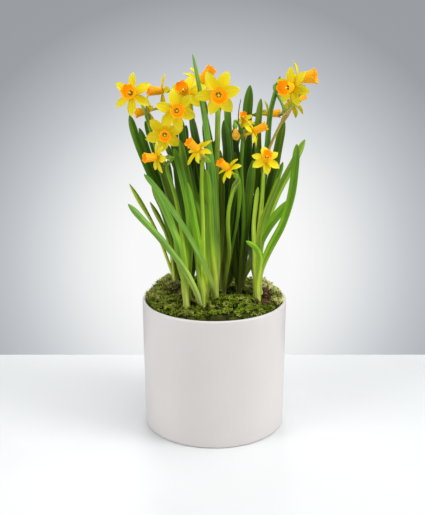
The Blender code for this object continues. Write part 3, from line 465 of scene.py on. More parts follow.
def nearest_lump(points):
    """For each point: the way from the nearest lump's middle, and how far it is."""
    away = points[:, None, :] - lumps[None]
    distance = np.hypot(away[..., 0], away[..., 1])
    nearest = distance.argmin(axis=1)
    rows = np.arange(len(points))
    return away[rows, nearest], distance[rows, nearest]


def cushion_height(points):
    """The moss's top with its small cushions, and 0 in a hollow to 1 on a crest."""
    _, distance = nearest_lump(points)
    crest = np.clip(1 - (distance / LUMP_REACH) ** 2, 0, 1)
    return moss_height(*points.T) + LUMP_HEIGHT * (crest - 0.55), crest


bed = turned([(1.0, BED_FOOT), (MOSS_RADIUS, BED_FOOT)], BED_SIDES)
shares = np.linspace(1.0, 0.02, BED_ROWS)
top = turned([(MOSS_RADIUS * share, 0.0) for share in shares], BED_SIDES)
bed_height, bed_crest = cushion_height(top[..., :2].reshape(-1, 2))
top[..., 2] = bed_height.reshape(top.shape[:2]) - BED_SINK
bed_skin = Skin()
# Painted shade: the bed is nearly black under the tufts, and a little lighter on its crests as painted light.
bed_lit_crests = 0.12 * bed_crest.reshape(top.shape[:2])
bed_skin.add(np.concatenate([bed, top]), tip=np.concatenate([np.zeros(bed.shape[:2]), bed_lit_crests]), tone=0.3)
print("the moss bed has", len(lumps), "lumps and rises to", round(float(bed_height.max()), 1), "mm")

# %% [markdown]
# One leaflet is a curved spike of seven points: three at its root, three halfway and one at the tip.
# Thirteen of them, fanned round a stem, make a tuft. Placing them with arrays instead of a loop keeps the
# making of twenty thousand leaflets down to a moment. The tone says how pale a tuft is: the front cushion
# is deep green, the mounds are more olive, and the back right is almost straw.

# %% Plant the tufts
LEAFLET_FACES = ((0, 2, 1), (0, 1, 4, 3), (1, 2, 5, 4), (2, 0, 3, 5), (3, 4, 6), (4, 5, 6), (5, 3, 6))
LEAFLETS = 13
TUFT_STEP = 3.3
TUFT_LENGTH = (2.9, 4.6)
LEAFLET_WIDTH = 1.2
# Each hollow is (across, back, spread, darkness): a painted shade, with shorter tufts, between the shoots and
# where bark shows.
DARK_HOLLOWS = (
    (-17, -33, 8, 0.8), (-20, 30, 16, 0.9), (-38, 5, 9, 0.5), (-34, -44, 9, 0.35), (12, 12, 18, 0.8),
    (51, 1, 10, 0.9), (50, -15, 8, 0.9), (48, -30, 7, 0.8), (-6, -52, 7, 0.3),
)


def leaflets(roots, normals, length, chance, fan=0.85, droop=0.35):
    """Curved spikes that stand round each root, as an array of spikes by 7 by 3."""
    count = len(roots)
    angle = chance.uniform(0, 2 * np.pi, count)
    flat = np.stack([np.cos(angle), np.sin(angle), np.zeros(count)], axis=1)
    spread = chance.uniform(0.25, 1.0, (count, 1)) * fan
    ahead = unit(normals * (1.15 - spread) + flat * spread)
    side = unit(np.cross(ahead, normals + flat * 0.01))
    high = np.cross(side, ahead)
    length = length[:, None]
    wide = side * LEAFLET_WIDTH / 2
    thick = high * LEAFLET_WIDTH * 0.35
    middle = roots + ahead * length * 0.55 + high * length * 0.08
    tip = roots + ahead * length - high * length * droop * 0.5
    low = roots - ahead * 0.4
    foot = [low + wide * 0.7, low - wide * 0.7, low + thick]
    return np.stack([*foot, middle + wide, middle - wide, middle + thick, tip], axis=1)


def moss_tone(points, chance):
    """How pale the moss is at each point, from deep green to straw."""
    x, y = points.T
    left = np.exp(-((x + 46) ** 2 + (y - 18) ** 2) / 34**2)
    right = np.exp(-((x - 58) ** 2 + (y - 18) ** 2) / 22**2)
    patches = 0.10 * np.sin(x / 6.1 + y / 9.0) + 0.08 * np.sin(y / 4.3 - x / 11.0)
    return np.clip(0.27 + 0.34 * left + 0.55 * right + patches + chance.normal(0, 0.08, len(x)), 0, 1)


def moss_light(points):
    """How open the moss lies to the light: 1 on the mounds, near 0 in the dark hollows."""
    light = np.ones(len(points))
    for across, back, spread, darkness in DARK_HOLLOWS:
        near = np.exp(-((points[:, 0] - across) ** 2 + (points[:, 1] - back) ** 2) / spread**2)
        light *= 1 - darkness * near
    return light


def plant_tufts(skin, points, chance, lift=0.0):
    """A tuft on each point, leaning away from the middle of its cushion and out over the rim."""
    heights, crest = cushion_height(points)
    away, _ = nearest_lump(points)
    lean = away / LUMP_REACH * 0.8
    outwards = points / MOSS_RADIUS
    edge = np.clip((np.hypot(*points.T) / MOSS_RADIUS - 0.93) / 0.07, 0, 1)[:, None]
    lean = lean * (1 - edge) + outwards * edge * 0.5
    normals = unit(np.concatenate([lean, np.ones((len(points), 1))], axis=1))
    roots = np.column_stack([points, heights - 0.9 + lift])
    many = np.repeat(np.arange(len(points)), LEAFLETS)
    feathery = 1 + 0.55 * np.exp(-((points[:, 0] + 52) ** 2 + (points[:, 1] - 12) ** 2) / 26**2)
    length = chance.uniform(*TUFT_LENGTH, len(points)) * feathery * (0.4 + 0.6 * moss_light(points))
    length = length[many] * chance.uniform(0.7, 1.1, len(many))
    jitter = np.column_stack([chance.normal(0, 0.3, (len(many), 2)), chance.uniform(-0.3, 0.9, len(many))])
    spikes = leaflets(roots[many] + jitter, normals[many], length, chance)
    tone = moss_tone(points, chance)[many][:, None]
    # Painted light and shade: tips on the crests are lighter, and those in the shaded hollows are darker.
    light = (0.18 + 0.95 * crest) * moss_light(points) * chance.uniform(0.7, 1.2, len(points))
    light = light[many][:, None] * chance.uniform(0.6, 1.1, (len(many), 1))
    tips = np.array([0.0, 0.0, 0.0, 0.5, 0.5, 0.5, 1.0]) * light
    skin.add_copies(spikes, LEAFLET_FACES, tip=tips, tone=tone)


tuft_chance = np.random.default_rng(5)
tuft_points = scattered(TUFT_STEP, MOSS_RADIUS - 0.6, tuft_chance)
front_half = tuft_points[:, 1] < -8
tufts_front, tufts_back = Skin(), Skin()
plant_tufts(tufts_front, tuft_points[front_half], tuft_chance)
plant_tufts(tufts_back, tuft_points[~front_half], tuft_chance)
print(len(tuft_points), "tufts with", len(tuft_points) * LEAFLETS, "leaflets")

# %% [markdown]
# Over the two mounds lie longer, feathery strands, olive at the left and straw at the right, some of them
# reaching over the rim. Between the cushions a few crumbs of red-brown bark show.

# %% Lay the strands and crumbs
STRAND_ROWS = 6
STRAND_RADIUS = 0.48
STRAND_SIDES = 4
# Each patch is (across, back, spread, strands, tone, most length).
STRAND_PATCHES = (
    (-50, 32, 17, 420, 0.62, 11.0), (-62, 4, 10, 150, 0.55, 7.0), (-45, -30, 16, 110, 0.42, 6.0),
    (60, 26, 11, 540, 0.97, 13.0), (67, -12, 6, 240, 0.92, 7.0), (0, 60, 26, 160, 0.45, 7.0),
)
# Each heap of crumbs is (across, back, spread, crumbs).
CRUMB_HEAPS = (
    (51, 2, 8.0, 120), (51, -13, 8.0, 150), (48, -28, 6.0, 70), (-38, 5, 6.0, 45), (-18, -30, 8.0, 20),
)
CRUMB_FACES = ((0, 2, 1), (0, 1, 4, 3), (1, 2, 5, 4), (2, 0, 3, 5), (3, 4, 5))


def lay_strand(skin, start, way, length, tone, chance):
    """A thin strand that creeps along the moss, dips and turns."""
    point = np.array([*start, cushion_height(np.array([start]))[0][0] - 0.3])
    heading = way
    line = [point]
    for _ in range(STRAND_ROWS - 1):
        heading += chance.normal(0, 0.32)
        step = np.array([math.cos(heading), math.sin(heading)]) * length / STRAND_ROWS
        spot = point[:2] + step
        out = np.hypot(*spot)
        if out > MOSS_RADIUS + 2.0:
            spot *= (MOSS_RADIUS + 2.0) / out
        floor = cushion_height(spot[None])[0][0]
        over_rim = 2.6 if out > MOSS_RADIUS - 1 else 0.0
        point = np.array([*spot, max(floor, MOSS_EDGE + over_rim) + chance.uniform(0.2, 1.9)])
        line.append(point)
    radii = STRAND_RADIUS * np.linspace(1.0, 0.35, STRAND_ROWS)
    # Painted shade: each strand is darker at its root among the tufts and lighter at its tip.
    paling = np.linspace(0.45, 1.15, STRAND_ROWS)
    skin.add(tube_rings(np.array(line), radii, STRAND_SIDES), tip=paling[:, None], tone=tone)


def frames(line):
    """Along a line of points: the direction and two directions square to it, carried without twist."""
    line = np.asarray(line)
    ahead = np.gradient(line, axis=0)
    side = RIGHTWARD if abs(unit(ahead[0])[0]) < 0.9 else np.array([0.0, 1.0, 0.0])
    found = []
    for direction in ahead:
        direction = unit(direction)
        side = unit(side - direction * (side @ direction))
        found.append((direction, side, np.cross(direction, side)))
    return found


def tube_rings(line, radii, sides):
    """Circles square to a line, one for each of its points."""
    rings = []
    for point, radius, (_, side, other) in zip(line, radii, frames(line)):
        rings.append(point + radius * circle(sides, side, other))
    return np.array(rings)


strand_chance = np.random.default_rng(9)
strands_skin = Skin()
for across, back, spread, number, tone, most in STRAND_PATCHES:
    for _ in range(number):
        start = np.array([across, back]) + strand_chance.normal(0, spread * 0.5, 2)
        reach = np.hypot(*start)
        if reach > MOSS_RADIUS - 1.5:
            start *= (MOSS_RADIUS - 1.5) / reach
        pale = np.clip(tone + strand_chance.normal(0, 0.1), 0, 1)
        length = strand_chance.uniform(0.45, 1.0) * most
        lay_strand(strands_skin, start, strand_chance.uniform(0, 2 * np.pi), length, pale, strand_chance)

crumbs_skin = Skin()
for across, back, spread, number in CRUMB_HEAPS:
    spots = np.array([across, back]) + strand_chance.normal(0, spread * 0.5, (number, 2))
    spots *= np.minimum(1, (MOSS_RADIUS - 3) / np.hypot(*spots.T))[:, None]
    heights, _ = cushion_height(spots)
    middle = np.column_stack([spots, heights + 1.6])[:, None, :]
    size = strand_chance.uniform(0.8, 2.3, (number, 1, 1))
    corners = strand_chance.normal(0, 0.25, (number, 6, 3))
    corners += np.array([(-0.8, -0.5, -0.5), (0.8, -0.5, -0.5), (0, 0.7, -0.5)] * 2)
    corners[:, 3:, 2] += 0.9
    bark_tone = strand_chance.uniform(0, 1, (number, 1))
    crumbs_skin.add_copies(middle + corners * size, CRUMB_FACES, tone=bark_tone)
print(len(strands_skin.points), "strands and", sum(heap[3] for heap in CRUMB_HEAPS), "crumbs")

# %% [markdown]
# One finish serves all the moss. The tone picks its green or straw, and a coarse noise makes patches. The tip
# note lightens it from root to point, which paints shade deep among the tufts, and it also carries the
# painted light on the crests and the painted shade in the hollows. The bark has its own, from nearly black to
# red-brown.

# %% Finish the moss
moss_finish = new_finish("living_moss", Roughness=0.75, Specular_IOR_Level=0.15)
moss_tip_and_light = attribute(moss_finish, "tip")
moss_pale = attribute(moss_finish, "tone")
root_shade = ramp(moss_finish, moss_pale, (0.0, 0.006, 0.011, 0.001), (1.0, 0.045, 0.035, 0.008))
tip_shade = ramp(moss_finish, moss_pale, (0.0, 0.32, 0.52, 0.015), (0.3, 0.60, 0.78, 0.05),
                 (0.6, 0.90, 0.93, 0.24), (1.0, 1.0, 0.96, 0.46))
patchy = noise(moss_finish, place_of(moss_finish), 160.0)
moss_shade = mix(moss_finish, calc(moss_finish, "POWER", moss_tip_and_light, 1.15), root_shade, tip_shade)
moss_shade = tint(moss_finish, moss_shade, 0.35, patchy, (0.35, 0.45, 0.4, 0.35), (0.65, 1.0, 1.0, 1.0))
give(moss_finish, moss_shade, "Base Color")

bark = new_finish("bark_crumbs", Roughness=0.8)
bark_brown = ramp(bark, attribute(bark, "tone"), (0.0, 0.035, 0.018, 0.006), (0.6, 0.10, 0.045, 0.014),
                  (1.0, 0.32, 0.12, 0.04))
give(bark, bark_brown, "Base Color")

make_piece("moss_bed", bed_skin, moss_finish, "moss", "moss")
make_piece("moss_tufts_front", tufts_front, moss_finish, "moss")
make_piece("moss_tufts_back", tufts_back, moss_finish, "moss")
make_piece("moss_strands", strands_skin, moss_finish, "moss")
make_piece("bark_crumbs", crumbs_skin, bark, "soil")

# %% [markdown]
# ## The plan of the plant
#
# Ten bulbs stand in the pot. Every leaf, stalk and bloom is planned as it looks from the front: how far
# across from the pot's middle and up from its mouth it runs, in millimetres on the picture plane. Its
# depth, the real y, is planned only where it starts and ends, and the code below finds the rest.

# %% Plan the shoots and leaves
@dataclass
class Shoot:
    """A bulb and where its sheath comes through the moss, seen from above."""

    name: str
    bulb: tuple
    surface: tuple


@dataclass
class Leaf:
    """A strap leaf: its width as seen, its turn from facing the front, and its way to the tip. A third
    number in the way is a depth. The taper is the share of its width that is left near the tip."""

    shoot: str
    width: float
    turn: float
    tip_depth: float
    way: list
    taper: float = 1.0


SHOOTS = [
    Shoot("back_left", (-42, 30), (-42, 27)),
    Shoot("left", (-28, 0), (-27, 1)),
    Shoot("front_left", (-34, -38), (-28, -38)),
    Shoot("front", (-8, -42), (-12, -36)),
    Shoot("middle", (-3, -13), (1, -15)),
    Shoot("centre", (8, 14), (9, 6)),
    Shoot("right_of_centre", (33, 18), (26, 14)),
    Shoot("right", (44, -25), (44, -21)),
    Shoot("right_back", (55, 2), (47, -3)),
    Shoot("back", (2, 46), (1, 44)),
]
shoots = {shoot.name: shoot for shoot in SHOOTS}
print(len(shoots), "shoots:", *shoots)

# %% [markdown]
# The leaves follow, shoot by shoot. Each has its width, its turn, the depth of its tip and its way. The
# first of them fan out at the left, and the last six stand at the back, where only other views show them.

# %% List the leaves
# For each shoot, rows of (width, turn, tip depth, way) and, where it isn't 1, the taper.
LEAF_PLAN = {
    "back_left": [
        (8, 20, 5, [(-43, 60), (-49, 85), (-57, 110), (-68, 135), (-77, 157), (-85.5, 185)]),
        (7, 45, 18, [(-39, 60), (-45, 85), (-52, 107), (-58, 122), (-65, 140), (-76, 172)]),
        (8, -50, 60, [(-41, 55), (-47, 80), (-55, 100), (-63, 117)]),
        (8, 40, 75, [(-37, 60), (-35, 100), (-33, 135), (-31, 160)]),
        (8.5, -35, 34, [(-40, 50), (-42, 80), (-45, 110), (-47, 140)]),
    ],
    "left": [
        (7, 40, 8, [(-33, 60), (-39, 85), (-45, 105), (-52, 125), (-60, 148), (-70, 179)]),
        (8, -35, 12, [(-31, 65), (-34, 95), (-37, 125), (-40, 150), (-43, 172)]),
        (8, 50, 30, [(-27, 60), (-29, 90), (-31, 120), (-32, 150), (-29, 175)]),
        (8, -20, -4, [(-34, 60), (-41, 88), (-48, 112), (-57, 150)]),
        (7, 55, 24, [(-25, 60), (-24, 95), (-25, 130), (-24, 160)]),
        (8, 30, 20, [(-24.5, 24), (-20.5, 45), (-17, 70), (-15, 105)]),
    ],
    "front_left": [
        (7, 30, -34, [(-33, 38), (-38, 60), (-45, 78), (-52, 95), (-63, 116)]),
        (7, -40, -24, [(-26, 38), (-25, 65), (-27, 95), (-32, 120), (-41, 152)]),
        (8, 35, -10, [(-30, 45), (-35, 70), (-41, 92), (-47, 112), (-54, 135)]),
    ],
    "front": [
        (6.2, 15, -66, [(-17, 5), (-25, 21, -50), (-35, 37), (-55, 62), (-77, 85), (-87, 96)]),
        (4, 0, -46, [(-13, 2), (-15, 15), (-18, 38)]),
        (8, 40, -10, [(-11, 38), (-13, 60), (-16, 82), (-20, 102), (-30, 140), (-34, 182)]),
        (7, -45, -20, [(-18, 50), (-22, 85), (-26, 110), (-31, 135), (-35, 160)]),
        (7, 25, -38, [(-15, 45), (-19, 70), (-23, 92), (-28, 118)]),
        (6, 25, -26, [(-7, 14), (-8, 40), (-10, 70), (-11, 98)]),
    ],
    "middle": [
        (4.8, 15, -64, [(-1, 5), (-5, 22, -38), (-18, 50, -50), (-35, 79), (-53, 105), (-71, 126)]),
        (9.5, 20, -28, [(-2, 30), (-5, 60), (-6, 85), (-7, 108), (-9, 131)]),
        (9.5, 58, -25, [(-1, 60), (-2, 95), (-4, 135), (-11.5, 185), (-16.5, 214), (-22.6, 246)], 0.4),
        (8, 45, 4, [(-7, 65), (-9, 95), (-13, 120), (-17, 145), (-24.5, 186)]),
        (8, -40, 0, [(4, 45), (6, 80), (6, 115), (5, 150)]),
    ],
    "centre": [
        (9, 30, 6, [(9, 38), (10, 75), (12, 110), (13, 140), (11, 162), (9, 180)]),
        (9, -40, 40, [(7, 45), (5, 85), (2, 125), (0, 160)]),
        (8.5, 45, 20, [(14, 45), (17, 80), (19, 115), (20, 148)]),
        (8, -25, -2, [(10, 40), (13, 70), (17, 100), (18, 128)]),
        (7, 20, 27, [(14.5, 20), (19, 42), (20.5, 75), (19, 112)]),
    ],
    "right_of_centre": [
        (7.5, 25, 8, [(21, 38), (20.5, 65), (19, 95), (16, 130), (14, 155), (12, 203)]),
        (10.5, 15, 24, [(26, 30), (30, 60), (33, 95), (31.5, 172), (35, 215)]),
        (8, -50, 38, [(23, 30), (24, 65), (25, 100), (23, 130), (19, 172)]),
        (8, 45, 62, [(27, 38), (37, 70), (47, 95), (55, 112)]),
        (8.5, 30, 0, [(29, 40), (31, 75), (35, 110), (38, 140)]),
        (8, 20, 26, [(31, 20), (35.5, 38), (38, 60), (38, 105)]),
    ],
    "right": [
        (5.5, 20, -50, [(42, 15), (44.5, 32), (45, 44), (41, 52), (31, 59)]),
        (7.5, -25, -42, [(42.5, 10), (45, 30), (51, 45), (69, 80), (78, 115), (82, 156)]),
        (9.5, 30, -26, [(42, 30), (43, 50), (47, 64), (55, 76), (74, 100)]),
        (5, -35, -34, [(44, 60), (47, 78), (53, 95), (65, 124)]),
        (4, 30, -38, [(39, 65), (40, 85), (41.5, 100), (43, 113)]),
    ],
    "right_back": [
        (6.8, -30, 14, [(41, 38), (40, 65), (42, 100), (44, 135), (43, 180), (46, 201.5)]),
        (7.5, 40, -6, [(43, 20), (45, 45), (48, 65), (61, 102), (79, 137), (90, 160.5)]),
        (9, -20, 18, [(41, 30), (43, 60), (47, 80), (57, 120), (63, 150), (69, 181)]),
        (7, 60, 30, [(42, 50), (44, 80), (49, 125), (54, 180), (58, 205), (65, 224)], 0.7),
        (5, 35, -12, [(47, 75), (52, 90), (58, 107), (64, 125), (68, 138)]),
        (7, 20, 22, [(41, 22), (37, 45), (36, 65), (34, 95)]),
    ],
    "back": [
        (8, 30, 60, [(-9, 45), (-16, 90), (-21, 130), (-24, 160)]),
        (8, -35, 56, [(9, 45), (16, 90), (22, 130), (27, 150)]),
        (8.5, 20, 74, [(-1, 50), (-3, 100), (-6, 140), (-11, 180)]),
        (8, -30, 80, [(3, 50), (9, 100), (17, 140), (25, 172)]),
        (6.5, 45, 90, [(-5, 40), (-15, 75), (-25, 105), (-29, 135)]),
        (6.5, -45, 92, [(7, 40), (20, 75), (35, 105), (47, 125)]),
    ],
}
LEAVES = [Leaf(shoot, *row) for shoot, rows in LEAF_PLAN.items() for row in rows]
print(len(LEAVES), "leaves")

# %% [markdown]
# A stalk forks into one to three bent pedicels, each with one bloom. A bloom is planned by its hub, where
# its six petals meet, by the way it faces and by its size. Four stalks still carry a closed bud, and one
# bloom, under the right-hand group, is spent.

# %% Plan the stalks and blooms
STALK_RADIUS = 2.2


@dataclass
class Stalk:
    """A flower stalk: its way up to the fork, the depth there and the blooms or bud it carries. The tip
    of its spathe may be given from the fork: across, up and back."""

    shoot: str
    fork_depth: float
    way: list
    heads: tuple
    radius: float = STALK_RADIUS
    spathe: tuple = ()


@dataclass
class Bloom:
    """A bloom: its hub, the way it faces, in degrees from the front and up, its size, its roll, and how
    broad its petals and how wide its cup's mouth are against the others'."""

    name: str
    hub: tuple
    depth: float
    facing: float
    lift: float
    size: float
    roll: float = 0.0
    breadth: float = 1.0
    mouth: float = 1.0


BLOOMS = [
    Bloom("01", (-83, 206), -24, -9, 14, 1.0, -4, breadth=0.74, mouth=0.95),
    Bloom("02", (-67, 189.5), 2, -75, -10, 0.74, 0, breadth=0.8, mouth=0.9),
    Bloom("03", (-53, 209), 8, -68, 4, 0.82, 10, breadth=0.75, mouth=0.9),
    Bloom("04", (-28, 206), -4, -20, 30, 1.0, 0, breadth=0.95, mouth=0.85),
    Bloom("05", (-39, 189.5), -32, 7, 6, 0.98, -12, mouth=0.94),
    Bloom("06", (-50.5, 166.5), -22, 4, -2, 0.95, 11, mouth=0.75),
    Bloom("07", (-58, 142.5), -44, -60, 4, 0.76, 30, breadth=0.85, mouth=0.85),
    Bloom("08", (-17, 149.5), -44, -60, 42, 0.8, 20, breadth=0.75, mouth=0.8),
    Bloom("09", (3, 206.5), -36, 3, -2, 1.08, -36),
    Bloom("10", (-14, 219), 30, 66, 46, 1.0, 20, breadth=0.8, mouth=0.75),
    Bloom("11", (77, 213), -30, -36, 2, 0.93, -16, breadth=0.85, mouth=1.03),
    Bloom("12", (84, 221), 20, 74, 12, 1.0, -12, breadth=0.75, mouth=1.05),
    Bloom("13", (78, 197), 44, 130, 30, 0.85, 0, breadth=0.8),
    Bloom("14", (53, 186), 34, 100, 2, 0.7, 30, breadth=0.8, mouth=0.85),
    Bloom("15", (29.5, 179), 15, -15, 50, 0.56, 30, breadth=0.9, mouth=0.9),
    Bloom("16", (38.5, 168.5), -20, 78, 26, 0.78, 0, breadth=0.8, mouth=0.75),
    Bloom("17", (51.2, 140), -44, 3, 36, 0.72, 0, mouth=0.9),
    Bloom("18", (13, 131), -42, -60, 40, 0.68, 0, breadth=0.85, mouth=0.9),
    Bloom("spent", (21, 165), -22, 10, -55, 0.5),
]
STALKS = [
    Stalk("left", -10, [(-37, 38), (-40, 65), (-44, 95), (-51, 122), (-58, 148), (-67, 179, -13)], ("01",)),
    Stalk("left", 14, [(-33, 50), (-34, 85), (-36, 120), (-38, 150), (-40, 190)], ("03", "02")),
    Stalk("back", 14, [(-5, 60), (-10, 100), (-16, 140), (-21, 175), (-24, 192)], ("04",),
          spathe=(-6, 9, 8)),
    Stalk("front", -2, [(-13, 40), (-16, 75), (-21, 105), (-28, 140), (-34, 168)], ("05",)),
    Stalk("front_left", 0, [(-26, 30), (-26, 62), (-28, 87), (-37, 125), (-46, 148)], ("06",)),
    Stalk("front_left", -30, [(-29, 25), (-32, 55), (-36, 85), (-42, 112), (-48, 130)], ("07",)),
    Stalk("front", -32, [(-12, 35), (-12, 70), (-13, 100), (-14, 125), (-13, 137)], ("08",)),
    Stalk("middle", -16, [(2.5, 20), (2.5, 60), (1, 100), (2, 140), (2.5, 172), (3, 188)], ("09",), 2.8),
    Stalk("centre", 14, [(8, 40), (6, 80), (2, 120), (-4, 160), (-10, 188)], ("10",)),
    Stalk("right_back", 2, [(43, 35), (43, 70), (46, 100), (52, 143), (61, 169), (68, 181)],
          ("11", "12", "13"), 1.5, spathe=(10, 13, -6)),
    Stalk("right_of_centre", 30, [(27, 30), (31, 60), (35, 95), (38, 130), (40, 164)], ("14",)),
    Stalk("right_of_centre", -8, [(26, 12), (28, 65), (28, 95), (26, 135), (28, 163)],
          ("15", "16", "spent"), spathe=(7, 11, -4)),
    Stalk("right", -30, [(41, 25), (42, 55), (45, 80), (47, 100), (48, 124)], ("17",)),
    Stalk("centre", -34, [(14, 40), (13.5, 60), (13, 80), (14.5, 96), (18, 110)], ("18",)),
    Stalk("back_left", 8, [(-45, 34), (-51, 50), (-59, 70), (-70, 90), (-85.5, 116)], ("bud",)),
    Stalk("back_left", 2, [(-43, 42), (-47, 60), (-53, 76), (-65, 98)], ("bud",)),
    Stalk("middle", -22, [(-8, 40), (-12, 70), (-14, 100), (-15, 112)], ("bud",)),
    Stalk("centre", -14, [(15, 40), (20, 70), (25, 100), (22, 124), (19, 138)], ("bud",)),
]
blooms = {bloom.name: bloom for bloom in BLOOMS}
print(len(STALKS), "stalks with", len(BLOOMS), "blooms")

# %% [markdown]
# `place` turns a spot on the picture plane into a point of the room at a given depth, by sliding it along
# the line of sight, and `seen` does the reverse. `through` draws a smooth curve through a few points.

# %% Go between the front view and the room
CURVE_STEPS = 12


def place(across, up, depth):
    """The point at this depth that the front view shows at (across, up)."""
    ray = AHEAD * SIGHT_PLANE + RIGHTWARD * (across + SIGHT_ZERO[0]) + UPWARD * (up + SIGHT_ZERO[1])
    return EYE + ray * ((depth - EYE[1]) / ray[1])


def seen(point):
    """Where the front view shows a point: (across, up)."""
    way = np.asarray(point, float) - EYE
    scale = SIGHT_PLANE / (way @ AHEAD)
    return way @ RIGHTWARD * scale - SIGHT_ZERO[0], way @ UPWARD * scale - SIGHT_ZERO[1]


def through(points, count):
    """Evenly spaced points along a smooth curve through the given ones."""
    points = np.array(points, float)
    padded = np.vstack([2 * points[0] - points[1], points, 2 * points[-1] - points[-2]])
    fine = []
    for a, b, c, d in zip(padded, padded[1:], padded[2:], padded[3:]):
        for t in np.linspace(0, 1, CURVE_STEPS, endpoint=False):
            bend = (2 * a - 5 * b + 4 * c - d) * t**2 + (3 * b - a - 3 * c + d) * t**3
            fine.append(0.5 * (2 * b + (c - a) * t + bend))
    fine = np.array(fine + [points[-1]])
    steps = np.linalg.norm(np.diff(fine, axis=0), axis=1)
    run = np.concatenate([[0], np.cumsum(steps)])
    at = np.linspace(0, run[-1], count)
    return np.stack([np.interp(at, run, column) for column in fine.T], axis=1)


mouth = [round(float(value), 1) for value in seen((0, 0, POT_HEIGHT))]
print("the middle of the pot's mouth is seen at", mouth)

# %% [markdown]
# All leaves and stalks of a shoot leave its flat sheath in layers, from front to back in the order in
# which their tips lie, so that none has to cross another.

# %% Layer the sheaths
GAP = 0.3
BULB_TIP = 96.0
SHEATH_HALF_WIDTH = 3.6
SHEATH_HALF_DEPTH = 6.2
SHEATH_RISE = 8.0
SHEATH_MARGIN = 0.5
NECK_DROP = 4.0
LEAF_ROOM = 1.3
STALK_ROOM = 4.0


def shoot_line(shoot):
    """The middle of a shoot's sheath: at the bulb's tip, near the soil's top and where the leaves part."""
    x, y = shoot.surface
    return np.array([
        [*shoot.bulb, BULB_TIP + GAP],
        [x, y, SOIL_TOP - NECK_DROP],
        [x, y, moss_height(x, y) + SHEATH_RISE],
    ])


def end_depth(plan):
    """How far back a planned leaf or stalk ends."""
    return plan.tip_depth if isinstance(plan, Leaf) else plan.fork_depth


def root_layers(plans):
    """For each leaf and stalk, how far behind the middle of its sheath it stands: those that end in front
    stand in front, so that none crosses another."""
    layers = {}
    for shoot in SHOOTS:
        own = sorted((plan for plan in plans if plan.shoot == shoot.name), key=end_depth)
        rooms = [LEAF_ROOM if isinstance(plan, Leaf) else STALK_ROOM for plan in own]
        squeeze = min(1.0, 2 * (SHEATH_HALF_DEPTH - SHEATH_MARGIN) / sum(rooms))
        start = -sum(rooms) / 2
        for plan, room in zip(own, rooms):
            layers[id(plan)] = (start + room / 2) * squeeze
            start += room
    return layers


layers = root_layers(LEAVES + STALKS)
print(len(layers), "layers, up to", round(max(layers.values()), 1), "mm behind the middle of a sheath")

# %% [markdown]
# A strand is a leaf or a stalk as a row of stations, evenly spaced along its way in the front view. It
# starts inside the sheath, and its depth runs evenly from there to its end.

# %% Run the strands out of their sheaths
LEAF_STATIONS = 7
LEAF_OUTLINE = ((0, 0.15, 0.4, 0.8, 0.92, 1), (0.5, 0.7, 1, 1, 0.8, 0.28))
LEAF_TWIST = ((0, 0.15, 0.5, 1), (0, 0.25, 0.8, 1))
TAPER_SPAN = (0.35, 0.85)
STALK_STATIONS = 6
STALK_TAPER = ((0, 1), (1.05, 0.9))
BUD_PROFILE = ((0, 0.55, 0.8, 0.93, 1), (1.8, 1.7, 2.6, 1.8, 0.4))


@dataclass
class Strand:
    """A leaf or stalk by its stations in the front view. A held one ends in blooms, which stay put."""

    shoot: str
    across: np.ndarray
    up: np.ndarray
    depth: np.ndarray
    widths: np.ndarray
    turns: np.ndarray
    held: bool
    round: bool = False

    def line(self):
        """The stations as points of the room."""
        return np.array([place(*station) for station in zip(self.across, self.up, self.depth)])


def stations_of(shoot, layer, way, last_depth, count):
    """Stations (across, up, depth) from inside the sheath to the end of a drawn way."""
    aside = np.array([0.0, layer, 0.0])
    top = shoot_line(shoot)[-1]
    root = top + aside * 0.9 - np.array([0.0, 0.0, SHEATH_RISE - 1.0])
    leave = top + aside + np.array([0.0, 0.0, 1.0])
    start = [(*seen(root), root[1]), (*seen(leave), leave[1])]
    way = [point for point in way if point[1] > start[1][1] + 4]
    route = np.array([point[:2] for point in start + way])
    run = np.concatenate([[0], np.cumsum(np.linalg.norm(np.diff(route, axis=0), axis=1))])
    known = [(run[0], root[1]), (run[1], leave[1])]
    known += [(run[k + 2], point[2]) for k, point in enumerate(way) if len(point) > 2]
    known.append((run[-1], last_depth))
    depths = np.interp(run, [at for at, _ in known], [depth for _, depth in known])
    return through(np.column_stack([route, depths]), count)


def leaf_strand(leaf, shoot, layer):
    """The strand of a planned leaf, with the width and turn of each station."""
    stations = stations_of(shoot, layer, leaf.way, leaf.tip_depth, LEAF_STATIONS)
    s = np.linspace(0, 1, LEAF_STATIONS)
    turns = leaf.turn * np.interp(s, *LEAF_TWIST)
    widths = leaf.width * np.interp(s, *LEAF_OUTLINE) / np.cos(np.radians(turns))
    widths *= np.interp(s, TAPER_SPAN, (1, leaf.taper))
    return Strand(leaf.shoot, *stations.T, widths, turns, held=False)


def stalk_strand(stalk, shoot, layer):
    """The strand of a planned stalk. One with a bud swells near its end."""
    stations = stations_of(shoot, layer, stalk.way, stalk.fork_depth, STALK_STATIONS)
    s = np.linspace(0, 1, STALK_STATIONS)
    blooming = stalk.heads != ("bud",)
    radii = stalk.radius * np.interp(s, *STALK_TAPER) if blooming else np.interp(s, *BUD_PROFILE)
    return Strand(stalk.shoot, *stations.T, 2 * radii, np.zeros(STALK_STATIONS), held=blooming, round=True)


leaf_strands = [leaf_strand(leaf, shoots[leaf.shoot], layers[id(leaf)]) for leaf in LEAVES]
stalk_strands = [stalk_strand(stalk, shoots[stalk.shoot], layers[id(stalk)]) for stalk in STALKS]
print(len(leaf_strands) + len(stalk_strands), "strands run out of the sheaths")

# %% [markdown]
# A bloom hangs on its pedicel by a small green ovary and a tube. The same frame, made of the hub, the
# axis, an up direction and a side direction, serves the pedicel, the petals and the cup, so they always
# meet.

